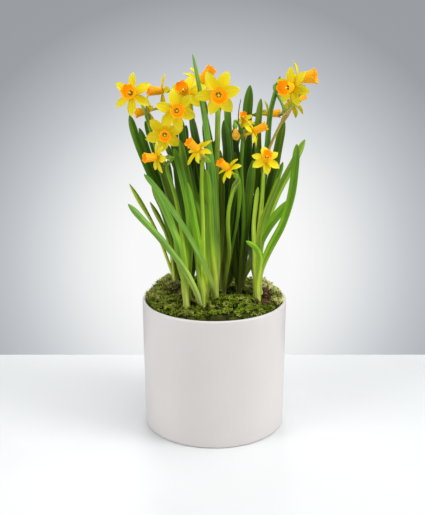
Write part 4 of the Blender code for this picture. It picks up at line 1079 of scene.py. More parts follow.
# %% Place the blooms
PETAL_LENGTH = 21.0
PETAL_WIDTH = 11.4
PETAL_STATIONS = (0.12, 0.46, 0.77, 1.0)
PETAL_RISE = 1.6
PETAL_DROOP = 4.6
PETAL_LAYER_DROP = 0.95
TUBE_LENGTH = 13.0
PEDICEL_STATIONS = 4
PEDICEL_DROP = 1.2
OVARY_LENGTH = 5.5


def aim_of(bloom):
    """The direction that a bloom faces."""
    turn, lift = math.radians(bloom.facing), math.radians(bloom.lift)
    level = math.cos(lift)
    return np.array([math.sin(turn) * level, -math.cos(turn) * level, math.sin(lift)])


def bloom_frame(bloom):
    """A bloom's hub, its axis, and its up and side directions, turned by its roll."""
    axis = aim_of(bloom)
    up = np.array([0.0, 0.0, 1.0]) if abs(axis[2]) < 0.95 else np.array([0.0, 1.0, 0.0])
    up = unit(up - axis * (up @ axis))
    side = np.cross(up, axis)
    roll = math.radians(bloom.roll)
    hub = place(*bloom.hub, bloom.depth)
    turned_up = up * math.cos(roll) + side * math.sin(roll)
    return hub, axis, turned_up, np.cross(turned_up, axis)


def petal_lines(bloom):
    """The middle line of each petal."""
    hub, axis, up, side = bloom_frame(bloom)
    lines = []
    for k in range(6):
        angle = math.pi * k / 3
        out = up * math.cos(angle) + side * math.sin(angle)
        layer = -PETAL_LAYER_DROP * (k % 2)
        line = []
        for s in PETAL_STATIONS:
            rise = layer + (PETAL_RISE * s - PETAL_DROOP * s**2) * bloom.size
            line.append(hub + out * s * PETAL_LENGTH * bloom.size + axis * rise)
        lines.append(line)
    return lines


def pedicel_line(start, direction, end, aim, count=PEDICEL_STATIONS):
    """From the fork to the foot of a bloom's tube, ending straight along the bloom's axis."""
    neck = end - aim * OVARY_LENGTH
    reach = 0.5 * np.linalg.norm(neck - start)
    bend = [start, start + direction * reach, neck - aim * reach, neck]
    line = []
    for t in np.linspace(0, 1, count):
        weights = ((1 - t) ** 3, 3 * t * (1 - t) ** 2, 3 * t**2 * (1 - t), t**3)
        line.append(sum(weight * point for weight, point in zip(weights, bend)))
    line += [neck + aim * OVARY_LENGTH * 0.5, end]
    return np.array(line)


def bloom_foot(bloom):
    """Where a bloom's ovary ends, just short of its tube, and the way the bloom faces."""
    hub, axis, _, _ = bloom_frame(bloom)
    return hub - axis * (TUBE_LENGTH * bloom.size + GAP), axis


def carried(stalk, strand, count=PEDICEL_STATIONS):
    """The line of each pedicel that a stalk carries from its fork, with its ovary."""
    line = strand.line()
    along = unit(line[-1] - line[-2])
    found = []
    for k, head in enumerate(head for head in stalk.heads if head in blooms):
        foot, aim = bloom_foot(blooms[head])
        found.append(pedicel_line(line[-1] - along * PEDICEL_DROP * k, along, foot, aim, count))
    return found


print("blooms face", [round(bloom.facing) for bloom in BLOOMS], "degrees from the front")

# %% [markdown]
# Each bloom takes up room that leaves have to pass. A few balls along its tube, its cup and its petals
# stand for it, and pedicels and the sheaths of the other shoots are counted in the same way.

# %% Give the blooms their room
PEDICEL_ROOM = 2.4
TUBE_ROOM = ((-4, 2.6), (-8, 2.6), (-12, 2.6))
CUP_ROOM = ((3, 4.8), (9, 6.0), (15, 7.8))
PETAL_ROOM = (5.5, 5.0, 1.5)
SHEATH_BALLS = 5


def bloom_obstacles(bloom):
    """Balls that fill a bloom: (point, half width across, half depth)."""
    hub, axis, _, _ = bloom_frame(bloom)
    found = [(hub + axis * z * bloom.size, radius, radius) for z, radius in TUBE_ROOM]
    for z, radius in CUP_ROOM:
        found.append((hub + axis * z * bloom.size, radius * bloom.size, radius * bloom.size))
    if bloom.name == "spent":
        return found
    for line in petal_lines(bloom):
        for point, radius in zip(line[1:], PETAL_ROOM):
            wide = radius * bloom.size
            found.append((point, wide, wide * math.sqrt(1 - axis[1] ** 2) + 1.0))
    return found


def fixed_obstacles(pedicels):
    """What strands pass: blooms, pedicels and the sheaths of other shoots, as (owner, point, wide, deep)."""
    found = []
    for bloom in BLOOMS:
        found += [("bloom " + bloom.name, *ball) for ball in bloom_obstacles(bloom)]
    for shoot in SHOOTS:
        top = shoot_line(shoot)[-1]
        for drop in np.linspace(0, SHEATH_RISE, SHEATH_BALLS):
            point = top - np.array([0.0, 0.0, drop])
            found.append((shoot.name, point, SHEATH_HALF_WIDTH, SHEATH_HALF_DEPTH))
    for owner, line in pedicels:
        found += [(owner, point, PEDICEL_ROOM, PEDICEL_ROOM) for point in line]
    return found


print("the blooms fill", sum(len(bloom_obstacles(bloom)) for bloom in BLOOMS), "balls")

# %% [markdown]
# Leaves that cross in the front view must pass before or behind each other. Each strand gets beads along
# it. Where two beads of different strands lie over each other in the view and are too close in depth, both
# are pushed apart a little, and the shift is spread along each strand so that it stays a smooth curve. After
# some hundred rounds nothing touches, and the front view hasn't changed at all.

# %% String beads on the strands
BEADS_PER_STATION = 4
NEAR_SLACK = 0.6
ROOT_SHARE = 0.12


def bead_table(strands, obstacles):
    """Beads along every strand and then the obstacles, one row for each: its station, the share towards
    the next one, its place in the front view, half width, half depth, strand and share of the length."""
    rows = []
    base = 0
    for number, strand in enumerate(strands):
        count = len(strand.depth)
        for at in np.linspace(0, count - 1, BEADS_PER_STATION * (count - 1) + 1):
            k = min(int(at), count - 2)
            share = at - k
            values = np.array([strand.widths, strand.turns, strand.across, strand.up])
            width, turn, across, up = values[:, k] * (1 - share) + values[:, k + 1] * share
            half, turn = width / 2, math.radians(turn)
            wide = half if strand.round else half * abs(math.cos(turn)) + 0.5
            deep = half if strand.round else half * abs(math.sin(turn)) + 0.5
            rows.append((base + k, share, across, up, wide, deep, number, at / (count - 1)))
        base += count
    for owner_number, (_, point, wide, deep) in enumerate(obstacles):
        across, up = seen(point)
        rows.append((base + owner_number, 0.0, across, up, wide, deep, -1, 1.0))
    return np.array(rows)


def crossings(table, owners, groups):
    """Pairs of beads of different strands that lie over each other in the front view."""
    across, up, wide = table[:, 2], table[:, 3], table[:, 4]
    strand, along = table[:, 6], table[:, 7]
    near = np.hypot(across[:, None] - across, up[:, None] - up) < wide[:, None] + wide + NEAR_SLACK
    near &= groups[:, None] != groups
    near &= (strand[:, None] >= 0) | (strand >= 0)
    same = owners[:, None] == owners
    rooted = (along < ROOT_SHARE) | (strand < 0)
    near &= ~(same & (rooted[:, None] | rooted))
    return np.nonzero(np.triu(near))


print(len(bead_table(leaf_strands + stalk_strands, [])), "beads")

# %% [markdown]
# A push on a bead is handed to the two stations beside it. Stations at a root stay where they are, and so
# does the fork of a stalk, because its blooms hang on it.

# %% Share the pushes
SMOOTH_SHARE = 0.12
PAIR_BASE = 10000


def free_share(strand):
    """How freely each station moves in depth: not at the root, and not where a stalk holds its blooms."""
    free = np.ones(len(strand.depth))
    free[:2] = (0, 0.5)
    if strand.held:
        free[-1] = 0
    return free


def bead_depths(depth, station, after, share):
    """The depth of each bead, between its station and the one after."""
    return depth[station] * (1 - share) + depth[after] * share


def pair_order(groups, first, second, ahead):
    """For each crossing, +1 where the second strand lies behind the first over all their crossings."""
    low, high = np.minimum(groups[first], groups[second]), np.maximum(groups[first], groups[second])
    ahead = np.where(groups[first] < groups[second], ahead, -ahead)
    _, index = np.unique(low * PAIR_BASE + high, return_inverse=True)
    total = np.bincount(index, ahead)
    order = np.where(total >= 0, 1.0, -1.0)[index]
    return np.where(groups[first] < groups[second], order, -order)


def station_push(push, hit, station, after, share, count):
    """Beads' pushes averaged onto the stations either side of them."""
    low, high = (1 - share) * hit, share * hit
    total = np.bincount(station, push * low, count) + np.bincount(after, push * high, count)
    weight = np.bincount(station, low, count) + np.bincount(after, high, count)
    return total / np.maximum(weight, 1e-9)


def smooth_shift(strands, depth, start, free):
    """Spreads each strand's shift along it, so that it stays a smooth curve."""
    base = 0
    for strand in strands:
        end = base + len(strand.depth)
        shift = depth[base:end] - start[base:end]
        padded = np.concatenate([[shift[0]], shift, [shift[-1]]])
        even = (padded[:-2] + padded[2:]) / 2
        depth[base:end] = start[base:end] + shift + (even - shift) * SMOOTH_SHARE * (free[base:end] > 0)
        base = end


loose_stations = sum(np.count_nonzero(free_share(strand)) for strand in leaf_strands + stalk_strands)
print(loose_stations, "stations are free to move in depth")

# %% [markdown]
# `settle` repeats one small step: find what each crossing lacks in depth, share the push between both
# strands as far as they are free to move, and smooth it along each of them.

# %% Ease the strands apart
CLEARANCE = 0.8
SETTLE_ROUNDS = 500
SETTLE_SHARE = 0.9
SMOOTH_UNTIL = 0.8
OWNER_BASE = 1000


def settle(strands, obstacles):
    """Moves strands in depth only, each pair keeping its order, until they clear each other."""
    table = bead_table(strands, obstacles)
    station = table[:, 0].astype(int)
    share = table[:, 1]
    owner_names = [strands[int(row[6])].shoot if row[6] >= 0 else "" for row in table]
    owner_names[len(table) - len(obstacles):] = [owner for owner, *_ in obstacles]
    names = {name: k for k, name in enumerate(dict.fromkeys(owner_names))}
    owners = np.array([names[name] for name in owner_names])
    groups = np.where(table[:, 6] >= 0, table[:, 6], OWNER_BASE + owners)
    fixed = [[point[1] for _, point, _, _ in obstacles]]
    start = np.concatenate([strand.depth for strand in strands] + fixed)
    free = np.concatenate([free_share(strand) for strand in strands] + [np.zeros(len(obstacles))])
    after = np.minimum(station + 1, len(start) - 1)
    first, second = crossings(table, owners, groups)
    deep = table[:, 5]
    need = deep[first] + deep[second] + CLEARANCE
    loose = (1 - share) * free[station] + share * free[after]
    gap = bead_depths(start, station, after, share)
    order = pair_order(groups, first, second, gap[second] - gap[first])
    weight = loose[first] + loose[second]
    moved = weight > 0
    first, second, need, order, weight = (a[moved] for a in (first, second, need, order, weight))
    depth = start.copy()
    for k in range(SETTLE_ROUNDS):
        gap = bead_depths(depth, station, after, share)
        lack = np.maximum(need - order * (gap[second] - gap[first]), 0) * order
        if not lack.any():
            break
        push = np.bincount(second, lack * loose[second] / weight, len(table))
        push -= np.bincount(first, lack * loose[first] / weight, len(table))
        hits = np.bincount(second, lack != 0, len(table)) + np.bincount(first, lack != 0, len(table))
        push /= np.maximum(hits, 1)
        depth += station_push(push, hits > 0, station, after, share, len(depth)) * free * SETTLE_SHARE
        if k < SETTLE_ROUNDS * SMOOTH_UNTIL:
            smooth_shift(strands, depth, start, free)
    base = 0
    for strand in strands:
        strand.depth = depth[base : base + len(strand.depth)]
        base += len(strand.depth)


pedicels = []
for stalk, strand in zip(STALKS, stalk_strands):
    pedicels += [(stalk.shoot, line) for line in carried(stalk, strand)]
before = np.concatenate([strand.depth for strand in leaf_strands + stalk_strands])
settle(leaf_strands + stalk_strands, fixed_obstacles(pedicels))
after = np.concatenate([strand.depth for strand in leaf_strands + stalk_strands])
print("most shift in depth, in mm:", round(float(np.abs(after - before).max()), 1))

# %% [markdown]
# ## Leaves
#
# A daffodil leaf is a thick strap with a blunt, rounded tip. It is hollowed like a gutter on the side that
# faces the middle of its shoot, most of all near the base, and it twists a little on its way up. The loops
# are thin curved slits. Their points note how far across and along the leaf they lie, for its long veins.

# %% Shape a blade
BLADE_COLUMNS = 9
FINE_STEPS = 160


def fine_line(strand, shares):
    """Points of the room on the smooth curve through a strand's stations, at shares of its length."""
    stations = np.column_stack([strand.across, strand.up, strand.depth])
    fine = through(stations, FINE_STEPS)
    at = np.linspace(0, 1, len(fine))
    return np.array([place(*station) for station in zip(*(np.interp(shares, at, row) for row in fine.T))])


def lengths(line):
    """How far along a line each of its points lies."""
    return np.concatenate([[0], np.cumsum(np.linalg.norm(np.diff(line, axis=0), axis=1))])


def blade_axes(point, ahead, turn):
    """The way across a blade and the way off its face, at a turn from facing the front."""
    front = unit(EYE - point)
    face = unit(front - ahead * (front @ ahead))
    across = np.cross(face, ahead)
    out = across * math.cos(turn) + face * math.sin(turn)
    return out, face * math.cos(turn) - across * math.sin(turn)


def slit(point, out, high, width, thickness, hollow):
    """A thin curved loop across a blade. A hollow above 0 curls its edges towards the high side."""
    u = np.linspace(-1, 1, BLADE_COLUMNS)[:, None]
    middle = point + out * u * width / 2 + high * hollow * width * (u**2 - 0.35)
    half = high * thickness / 2 * (1 - 0.72 * u**2)
    return np.concatenate([middle + half, (middle - half)[::-1]])


def blade_notes(run, widths, seed):
    """For the points of a blade: where they lie in its grain, how close to its edge, and on which half, which
    the leaf finish paints lit or shaded.
    """
    u = np.linspace(-1, 1, BLADE_COLUMNS)
    u = np.concatenate([u, u[::-1]])
    return {"grain": grain_of(np.outer(widths / 2, u), run[:, None], seed), "edge": np.abs(u), "half": u}


print("a blade's loop has", 2 * BLADE_COLUMNS, "points")

# %% [markdown]
# Little light reaches the middle of such a thick clump. The shade is noted on the points, so that it stays
# where it belongs from every side: deepest halfway up behind the front leaves, and lifted again from faces
# that look outwards.

# %% Shade the inside of the clump
RISE_START = 14.0
RISE_SPAN = 250.0
CLUMP_MIDDLE = np.array([6.0, 10.0, 0.0])
CLUMP_RADIUS = 45.0
CLUMP_HALF_WIDTH = 24.0
CLUMP_FLARE = 0.26
INSIDE_FRONT = 21.0
INSIDE_FRONT_LEFT = 14.0
INSIDE_FADE = 27.0
INSIDE_HEIGHT = ((20, 60, 100, 150, 210), (0.58, 0.78, 1.0, 0.8, 0.25))


def rise_of(heights, start=RISE_START):
    """How far up the plant heights are: 0 at the pale foot, 1 at the top."""
    return (heights - SOIL_TOP - start) / RISE_SPAN


def shade_of(line):
    """How far inside the clump each point is, where less light reaches it: 0 outside to 1 inside."""
    forward = INSIDE_FRONT + INSIDE_FRONT_LEFT * np.clip(-(line[:, 0] + 10) / 15, 0, 1)
    behind = np.clip((line[:, 1] + forward) / INSIDE_FADE, 0, 1)
    height = np.interp(line[:, 2] - SOIL_TOP, *INSIDE_HEIGHT)
    reach = CLUMP_HALF_WIDTH + CLUMP_FLARE * (line[:, 2] - SOIL_TOP)
    middle = np.clip(1.6 - np.abs(line[:, 0] - CLUMP_MIDDLE[0]) / reach, 0, 1)
    return behind * height * middle


def turned_out(line, highs):
    """How far each side of a blade faces out of the clump, for the loop's high side and then its low side."""
    away = (line - CLUMP_MIDDLE) * (1, 1, 0)
    outside = np.clip(np.linalg.norm(away, axis=1) / CLUMP_RADIUS, 0, 1)
    facing = np.sum(unit(away) * highs, axis=1) * outside
    return np.repeat(np.stack([facing, -facing], axis=1), BLADE_COLUMNS, axis=1).clip(0, 1)


print("shade at the clump's middle:", shade_of(CLUMP_MIDDLE[None] + (0, 0, SOIL_TOP + 100)).round(2))

# %% [markdown]
# A leaf's rows stand closer towards its tip, where it rounds off. Chance sways each leaf a little, picks its
# tone, from blue green at 0 to yellow green at 1, and a painted shade, and a table sets them for the leaves
# in front.

# %% Grow the leaves
LEAF_ROWS = 46
LEAF_SHAPE = ((0, 0.15, 0.35, 0.8, 1), (0.82, 0.95, 1, 1, 0.92))
LEAF_TIP = 2.1
LEAF_HOLLOW = ((0, 0.3, 0.7, 1), (0.30, 0.20, 0.15, 0.10))
LEAF_THICKNESS = ((0, 0.5, 0.9, 1), (1.4, 1.1, 0.8, 0.5))
# The tones of some leaves in front, by their number in the list. These get no random painted shade.
LEAF_TONES = {
    0: 0.3, 1: 0.2, 5: 0.4, 11: 0.2, 14: 0.1, 16: 0.3, 17: 0.7, 18: 0.45, 20: 0.12, 21: 0.72, 22: 0.12,
    30: 0.3, 31: 0.5, 36: 0.3, 37: 0.3, 38: 0.45, 41: 0.95, 42: 0.8, 43: 0.85,
}


def grow_leaf(skin, leaf, strand, seed, chance):
    """Adds one leaf: a slit across it at each of its rows."""
    rows = 1 - (1 - np.linspace(0, 1, LEAF_ROWS)) ** 1.5
    line = fine_line(strand, rows)
    run = lengths(line)
    sway = chance.uniform(3, 7) * np.sin(rows * chance.uniform(5, 9) + chance.uniform(0, 6)) * rows
    turns = np.radians(leaf.turn * np.interp(rows, *LEAF_TWIST) + sway)
    to_tip = np.clip((run[-1] - run) / (LEAF_TIP * leaf.width), 0, 1)
    rounding = np.maximum((1 - (1 - to_tip) ** 2) ** 0.62, 0.04)
    widths = leaf.width * np.interp(rows, *LEAF_SHAPE) * rounding / np.cos(turns)
    widths *= np.interp(rows, TAPER_SPAN, (1, leaf.taper)) * (1 + 0.035 * np.sin(rows * 21 + seed))
    root = shoot_line(shoots[leaf.shoot])[-1][:2]
    # A random painted shade for each leaf, and none for the listed leaves in front.
    tone, random_shade = chance.uniform(0, 1), chance.uniform(0, 0.34)
    if seed in LEAF_TONES:
        tone, random_shade = LEAF_TONES[seed], 0.0
    rings, highs = [], []
    for k, (point, (ahead, _, _)) in enumerate(zip(line, frames(line))):
        out, high = blade_axes(point, ahead, turns[k])
        inwards = np.append(root - line[LEAF_ROWS // 2][:2], 0.0) @ high
        hollow = np.interp(rows[k], *LEAF_HOLLOW) * np.clip(inwards / 4, -1, 1)
        thickness = np.interp(rows[k], *LEAF_THICKNESS)
        rings.append(slit(point, out, high, widths[k], thickness, hollow))
        highs.append(high)
    # The shade note is a painted shade: deep inside the clump, less on faces turned outwards, plus a random
    # part.
    shade = shade_of(line)[:, None] * (1 - 0.85 * turned_out(line, np.array(highs))) + random_shade
    notes = blade_notes(run, widths, seed)
    # Painted light and shade: which half of the blade is lighter is chosen at random.
    notes["half"] = notes["half"] * chance.choice((-1, 1))
    skin.add(rings, rise=rise_of(line[:, 2])[:, None], shade=shade, tone=tone, **notes)


leaf_skins = {shoot.name: Skin() for shoot in SHOOTS}
leaf_chance = np.random.default_rng(21)
for number, (leaf, strand) in enumerate(zip(LEAVES, leaf_strands)):
    grow_leaf(leaf_skins[leaf.shoot], leaf, strand, number, leaf_chance)
print("leaves of each shoot:", {name: len(skin.points) for name, skin in leaf_skins.items()})

# %% [markdown]
# The leaf finish is built on three notes. The rise takes the colour from the pale, nearly white base
# through yellow-green to a deeper, slightly blue green. The grain stretches a noise along the blade for its
# parallel veins, and the edge gives each margin a thin lighter line.

# %% Finish the leaves
leaf_green = new_finish("leaf_green", Roughness=0.48, Specular_IOR_Level=0.16)
leaf_rise = attribute(leaf_green, "rise")
leaf_tone = attribute(leaf_green, "tone")
fresh = ramp(leaf_green, leaf_rise, (0.0, 0.78, 0.84, 0.20), (0.12, 0.56, 0.72, 0.06),
             (0.26, 0.22, 0.46, 0.010), (0.6, 0.145, 0.345, 0.014), (1.0, 0.22, 0.42, 0.06))
yellow_side = ramp(leaf_green, leaf_rise, (0.0, 0.88, 0.90, 0.32), (0.18, 0.66, 0.78, 0.09),
                   (0.5, 0.38, 0.58, 0.04), (1.0, 0.42, 0.60, 0.09))
blue_side = ramp(leaf_green, leaf_rise, (0.0, 0.52, 0.60, 0.30), (0.12, 0.30, 0.48, 0.14),
                 (0.6, 0.16, 0.37, 0.07), (1.0, 0.20, 0.40, 0.12))
yellowish = ramp(leaf_green, leaf_tone, (0.6, 0, 0, 0), (0.95, 0.9, 0.9, 0.9))
bluish = ramp(leaf_green, leaf_tone, (0.05, 0.8, 0.8, 0.8), (0.25, 0, 0, 0))
leaf_shade = mix(leaf_green, yellowish, fresh, yellow_side)
leaf_shade = mix(leaf_green, bluish, leaf_shade, blue_side)
# Painted light and shade across each blade: one half lighter, the other darker.
lit_half = calc(leaf_green, "ADD", calc(leaf_green, "MULTIPLY", attribute(leaf_green, "half"), 0.5), 0.5)
veins = grain_noise(leaf_green, (1.5, 0.02, 3.1))
blotch = grain_noise(leaf_green, (0.12, 0.045, 7.7))
# Painted shade: the leaf darkens as far as the shade note says it lies inside the clump.
inside = attribute(leaf_green, "shade")
leaf_shade = tint(leaf_green, leaf_shade, 1.0, lit_half, (0.1, 0.80, 0.80, 0.78), (0.44, 0.74, 0.76, 0.72),
                  (0.56, 1.18, 1.16, 1.1), (1.0, 1.02, 1.02, 1.0))
leaf_shade = tint(leaf_green, leaf_shade, 1.0, inside, (0.0, 1.0, 1.0, 1.0), (0.35, 0.55, 0.60, 0.5),
                  (0.7, 0.24, 0.28, 0.2), (1.0, 0.11, 0.13, 0.07))
leaf_shade = tint(leaf_green, leaf_shade, 0.8, veins, (0.3, 0.5, 0.54, 0.45), (0.7, 1.2, 1.16, 1.1))
leaf_shade = tint(leaf_green, leaf_shade, 0.5, blotch, (0.3, 0.6, 0.68, 0.6), (0.7, 1.2, 1.15, 1.0))
margin = calc(leaf_green, "MULTIPLY", calc(leaf_green, "POWER", attribute(leaf_green, "edge"), 6.0), 0.3)
leaf_shade = mix(leaf_green, margin, leaf_shade, (0.34, 0.48, 0.10, 1.0))
dried = ramp(leaf_green, veins, (0.3, 0.20, 0.13, 0.02), (0.65, 0.60, 0.46, 0.11))
leaf_shade = mix(leaf_green, attribute(leaf_green, "dry"), leaf_shade, dried)
give(leaf_green, leaf_shade, "Base Color")
bump(leaf_green, veins, 0.25, 0.25)

for name, skin in leaf_skins.items():
    make_piece("leaves_" + name, skin, leaf_green, "leaf", "shoot_" + name)

# %% [markdown]
# ## Stalks, buds and sheaths
#
# A stalk is a smooth round tube that runs on into its first pedicel. The others leave it just under the
# fork. Each pedicel swells into an ovary, and a closed bud is a swelling of the tube itself.

# %% Grow the stalks
STALK_ROWS = 36
STALK_SIDES = 12
PEDICEL_ROWS = 12
PEDICEL_RADIUS = 1.3
OVARY_PROFILE = ((0.0, 0.2, 0.45, 0.7, 0.9, 1.0), (1.3, 1.9, 2.45, 2.4, 1.9, 1.6))
# The stalks that are yellowest: those of two blooms in front, and the buds at the left.
PALE_STALKS = (7, 12, 14, 15)


def tube_notes(line, radii, seed):
    """For the points of a stalk: its grain, how high it lies, which side the leaf finish paints lit, and how
    far inside the clump it lies, for the painted shade.
    """
    across = np.outer(radii, np.linspace(-1, 1, STALK_SIDES)) * 3
    half = np.cos(round_angles(STALK_SIDES) + 0.8)
    rise, shade = rise_of(line[:, 2]), shade_of(line)
    grain = grain_of(across, lengths(line)[:, None], seed)
    return {"grain": grain, "edge": 0.3, "half": half, "rise": rise[:, None], "shade": shade[:, None]}


def smooth_radii(profile, shares):
    """A smooth curve through a profile, given as shares of the length and radii."""
    curve = through(np.column_stack(profile), 80)
    return np.interp(shares, curve[:, 0], curve[:, 1])


def with_ovary(line, radii):
    """Runs a pedicel's line on through its ovary."""
    shares, swell = OVARY_PROFILE
    ovary = line[-3] + np.outer(shares[1:], line[-1] - line[-3])
    return np.vstack([line[:-2], ovary]), np.concatenate([radii, swell[1:]])


def dryness(stalk, count):
    """How far each row of a stalk has dried: the stalk with three blooms is brown towards its fork."""
    return np.linspace(-0.6, 1.3, count).clip(0, 0.9) * (len(stalk.heads) == 3 and stalk.radius < 2)


def grow_stalk(skin, stalk, strand, seed, tone):
    """Adds a stalk with its bud, or with the pedicels and ovaries of its blooms."""
    shares = np.linspace(0, 1, STALK_ROWS)
    line = fine_line(strand, shares)
    if not strand.held:
        radii = smooth_radii(BUD_PROFILE, shares)
        skin.add(tube_rings(line, radii, STALK_SIDES), tone=tone, dry=0.0, **tube_notes(line, radii, seed))
        return
    radii = stalk.radius * np.interp(shares, *STALK_TAPER)
    for k, pedicel in enumerate(carried(stalk, strand, PEDICEL_ROWS)):
        narrow = PEDICEL_RADIUS + (radii[-1] - PEDICEL_RADIUS) * np.linspace(1, 0, PEDICEL_ROWS) ** 3
        bend, bend_radii = with_ovary(pedicel, narrow)
        if k == 0:
            bend, bend_radii = np.vstack([line, bend[1:]]), np.concatenate([radii, bend_radii[1:]])
        notes = tube_notes(bend, bend_radii, seed + 0.3 * k)
        dry = np.zeros(len(bend))
        if k == 0:
            dry[:STALK_ROWS] = dryness(stalk, STALK_ROWS)
        skin.add(tube_rings(bend, bend_radii, STALK_SIDES), tone=tone, dry=dry[:, None], **notes)


stalk_skins = {shoot.name: Skin() for shoot in SHOOTS}
stalk_chance = np.random.default_rng(33)
for number, (stalk, strand) in enumerate(zip(STALKS, stalk_strands)):
    tone = stalk_chance.uniform(0.7, 0.95)
    grow_stalk(stalk_skins[stalk.shoot], stalk, strand, number, 1.0 if number in PALE_STALKS else tone)
print(sum(strand.held for strand in stalk_strands), "stalks bear blooms")

# %% [markdown]
# The sheath is lofted up its outside, over its torn edge and a little way down the inside. Its loops are
# ellipses, because leaves stand one behind the other in it.

# %% Fold the sheaths
SHEATH_SIDES = 28
SHEATH_WALL = 0.5
SHEATH_RISE_START = 22.0
NECK_RADIUS = 3.8
# Each loop is (point of the shoot's line, share of the full spread, lift, wall).
SHEATH_LOOPS = (
    (0, 0, 0, 0), (1, 1, 0, 0), (2, 0.97, -5, 0), (2, 0.92, 0.6, 0), (2, 0.9, 0.2, SHEATH_WALL),
    (2, 0.9, -6, SHEATH_WALL),
)


def grow_sheath(skin, shoot, chance):
    """A flattened collar from the bulb's tip to a little above the moss, open at the top."""
    angles = round_angles(SHEATH_SIDES)
    torn = 2.4 * np.sin(angles + chance.uniform(0, 6)) + 0.5 * np.sin(5 * angles + chance.uniform(0, 6)) - 1.5
    rings = []
    for stop, share, lift, wall in SHEATH_LOOPS:
        x, y, z = shoot_line(shoot)[stop]
        wide = NECK_RADIUS + (SHEATH_HALF_WIDTH - NECK_RADIUS) * share - wall
        deep = NECK_RADIUS + (SHEATH_HALF_DEPTH - NECK_RADIUS) * share - wall
        height = z + lift + torn * (lift > 0)
        rings.append(np.stack([x + wide * np.cos(angles), y + deep * np.sin(angles), height], axis=1))
    rings = np.array(rings)
    rise = rise_of(rings[..., 2], SHEATH_RISE_START)
    grain = grain_of(angles * 5, rings[..., 2], 0.0)
    # Painted light and shade, the same all round each sheath: a slight shade and a slightly lighter side.
    skin.add(rings, rise=rise, grain=grain, edge=0.6, tone=0.7, half=0.3, shade=0.15, dry=0.0)


for shoot in SHOOTS:
    grow_sheath(stalk_skins[shoot.name], shoot, stalk_chance)
for name, skin in stalk_skins.items():
    make_piece("stalks_" + name, skin, leaf_green, "leaf", "shoot_" + name)

# %% [markdown]
# Moss climbs a little way up every sheath, so that the shoots seem to grow out of it. Two rings of tufts
# round each foot, the inner one higher, cover the line where they meet.

# %% Plant moss round the sheaths
# Each ring is (away from the sheath, lift, tufts).
COLLAR_RINGS = ((2.2, 1.6, 12), (4.2, 0.6, 16))
collar_skin = Skin()
collar_chance = np.random.default_rng(41)
for shoot in SHOOTS:
    foot = shoot_line(shoot)[-1][:2]
    for away, lift, number in COLLAR_RINGS:
        angles = 2 * np.pi * (np.arange(number) + collar_chance.uniform(0, 1)) / number
        wide, deep = SHEATH_HALF_WIDTH + away, SHEATH_HALF_DEPTH + away
        spots = foot + np.stack([wide * np.cos(angles), deep * np.sin(angles)], axis=1)
        spots += collar_chance.normal(0, 0.5, spots.shape)
        plant_tufts(collar_skin, spots[np.hypot(*spots.T) < MOSS_RADIUS - 0.6], collar_chance, lift)
make_piece("moss_collars", collar_skin, moss_finish, "moss")

# %% [markdown]
# Behind each fork stands the spathe, the dry, papery leaf that once wrapped the buds. It is a thin, folded
# blade with brown streaks.

# %% Add the spathes
SPATHE_LENGTH = 15.0
SPATHE_ROWS = 14
SPATHE_SHAPE = ((0, 0.2, 0.45, 0.7, 0.9, 1), (2.4, 4.6, 5.6, 4.0, 1.8, 0.4))
SPATHE_TURNS = ((0, 0.5, 1), (20, 20, 35))
SPATHE_THICKNESS = 0.4
SPATHE_HOLLOW = 0.36


def spathe_line(stalk, strand):
    """From just under a fork to the tip of its spathe, leaning away from the blooms."""
    line = strand.line()
    fork = line[-1]
    ahead = unit(fork - line[-2])
    if stalk.spathe:
        across, up, back = stalk.spathe
        tip = place(strand.across[-1] + across, strand.up[-1] + up, fork[1] + back)
    else:
        feet = [unit(bloom_foot(blooms[head])[0] - fork) for head in stalk.heads]
        tip = fork + unit(ahead * 2.2 - unit(np.mean(feet, axis=0))) * SPATHE_LENGTH
    return through([fork - ahead * 5, fork + (tip - fork) * 0.35 + ahead, tip], SPATHE_ROWS)


def grow_spathe(skin, line, seed, tone):
    """Adds one folded blade along a line."""
    rows = np.linspace(0, 1, SPATHE_ROWS)
    widths = smooth_radii(SPATHE_SHAPE, rows)
    turns = np.radians(np.interp(rows, *SPATHE_TURNS) + 14 * np.sin(rows * 6 + seed))
    rings = []
    for point, width, turn, (ahead, _, _) in zip(line, widths, turns, frames(line)):
        axes = blade_axes(point, ahead, turn)
        rings.append(slit(point, *axes, width, SPATHE_THICKNESS, SPATHE_HOLLOW))
    skin.add(rings, tone=tone, **blade_notes(lengths(line), widths, seed))


spathe_skin = Skin()
for number, (stalk, strand) in enumerate(zip(STALKS, stalk_strands)):
    if strand.held:
        grow_spathe(spathe_skin, spathe_line(stalk, strand), number, 0.2 if stalk.spathe else 0.8)

papery = new_finish("papery_spathe", Roughness=0.7, Specular_IOR_Level=0.2)
streaks = grain_noise(papery, (2.2, 0.12, 1.7), 3.0)
tan = ramp(papery, streaks, (0.3, 0.26, 0.13, 0.03), (0.5, 0.62, 0.40, 0.12), (0.72, 0.82, 0.62, 0.26))
olive = ramp(papery, streaks, (0.3, 0.16, 0.16, 0.03), (0.7, 0.42, 0.44, 0.14))
still_green = calc(papery, "GREATER_THAN", attribute(papery, "tone"), 0.5)
give(papery, mix(papery, still_green, tan, olive), "Base Color")
bump(papery, streaks, 0.5, 0.4)
make_piece("papery_spathes", spathe_skin, papery, "withered")

# %% [markdown]
# ## Petals
#
# A perianth has six petals in two layers of three. A petal is a thin blade with a blunt point, two soft
# folds and a slightly wavy margin, and no two are quite alike, so seeded chance turns, narrows and twists
# each one a little. Behind them is the narrow tube that joins the bloom to its ovary.

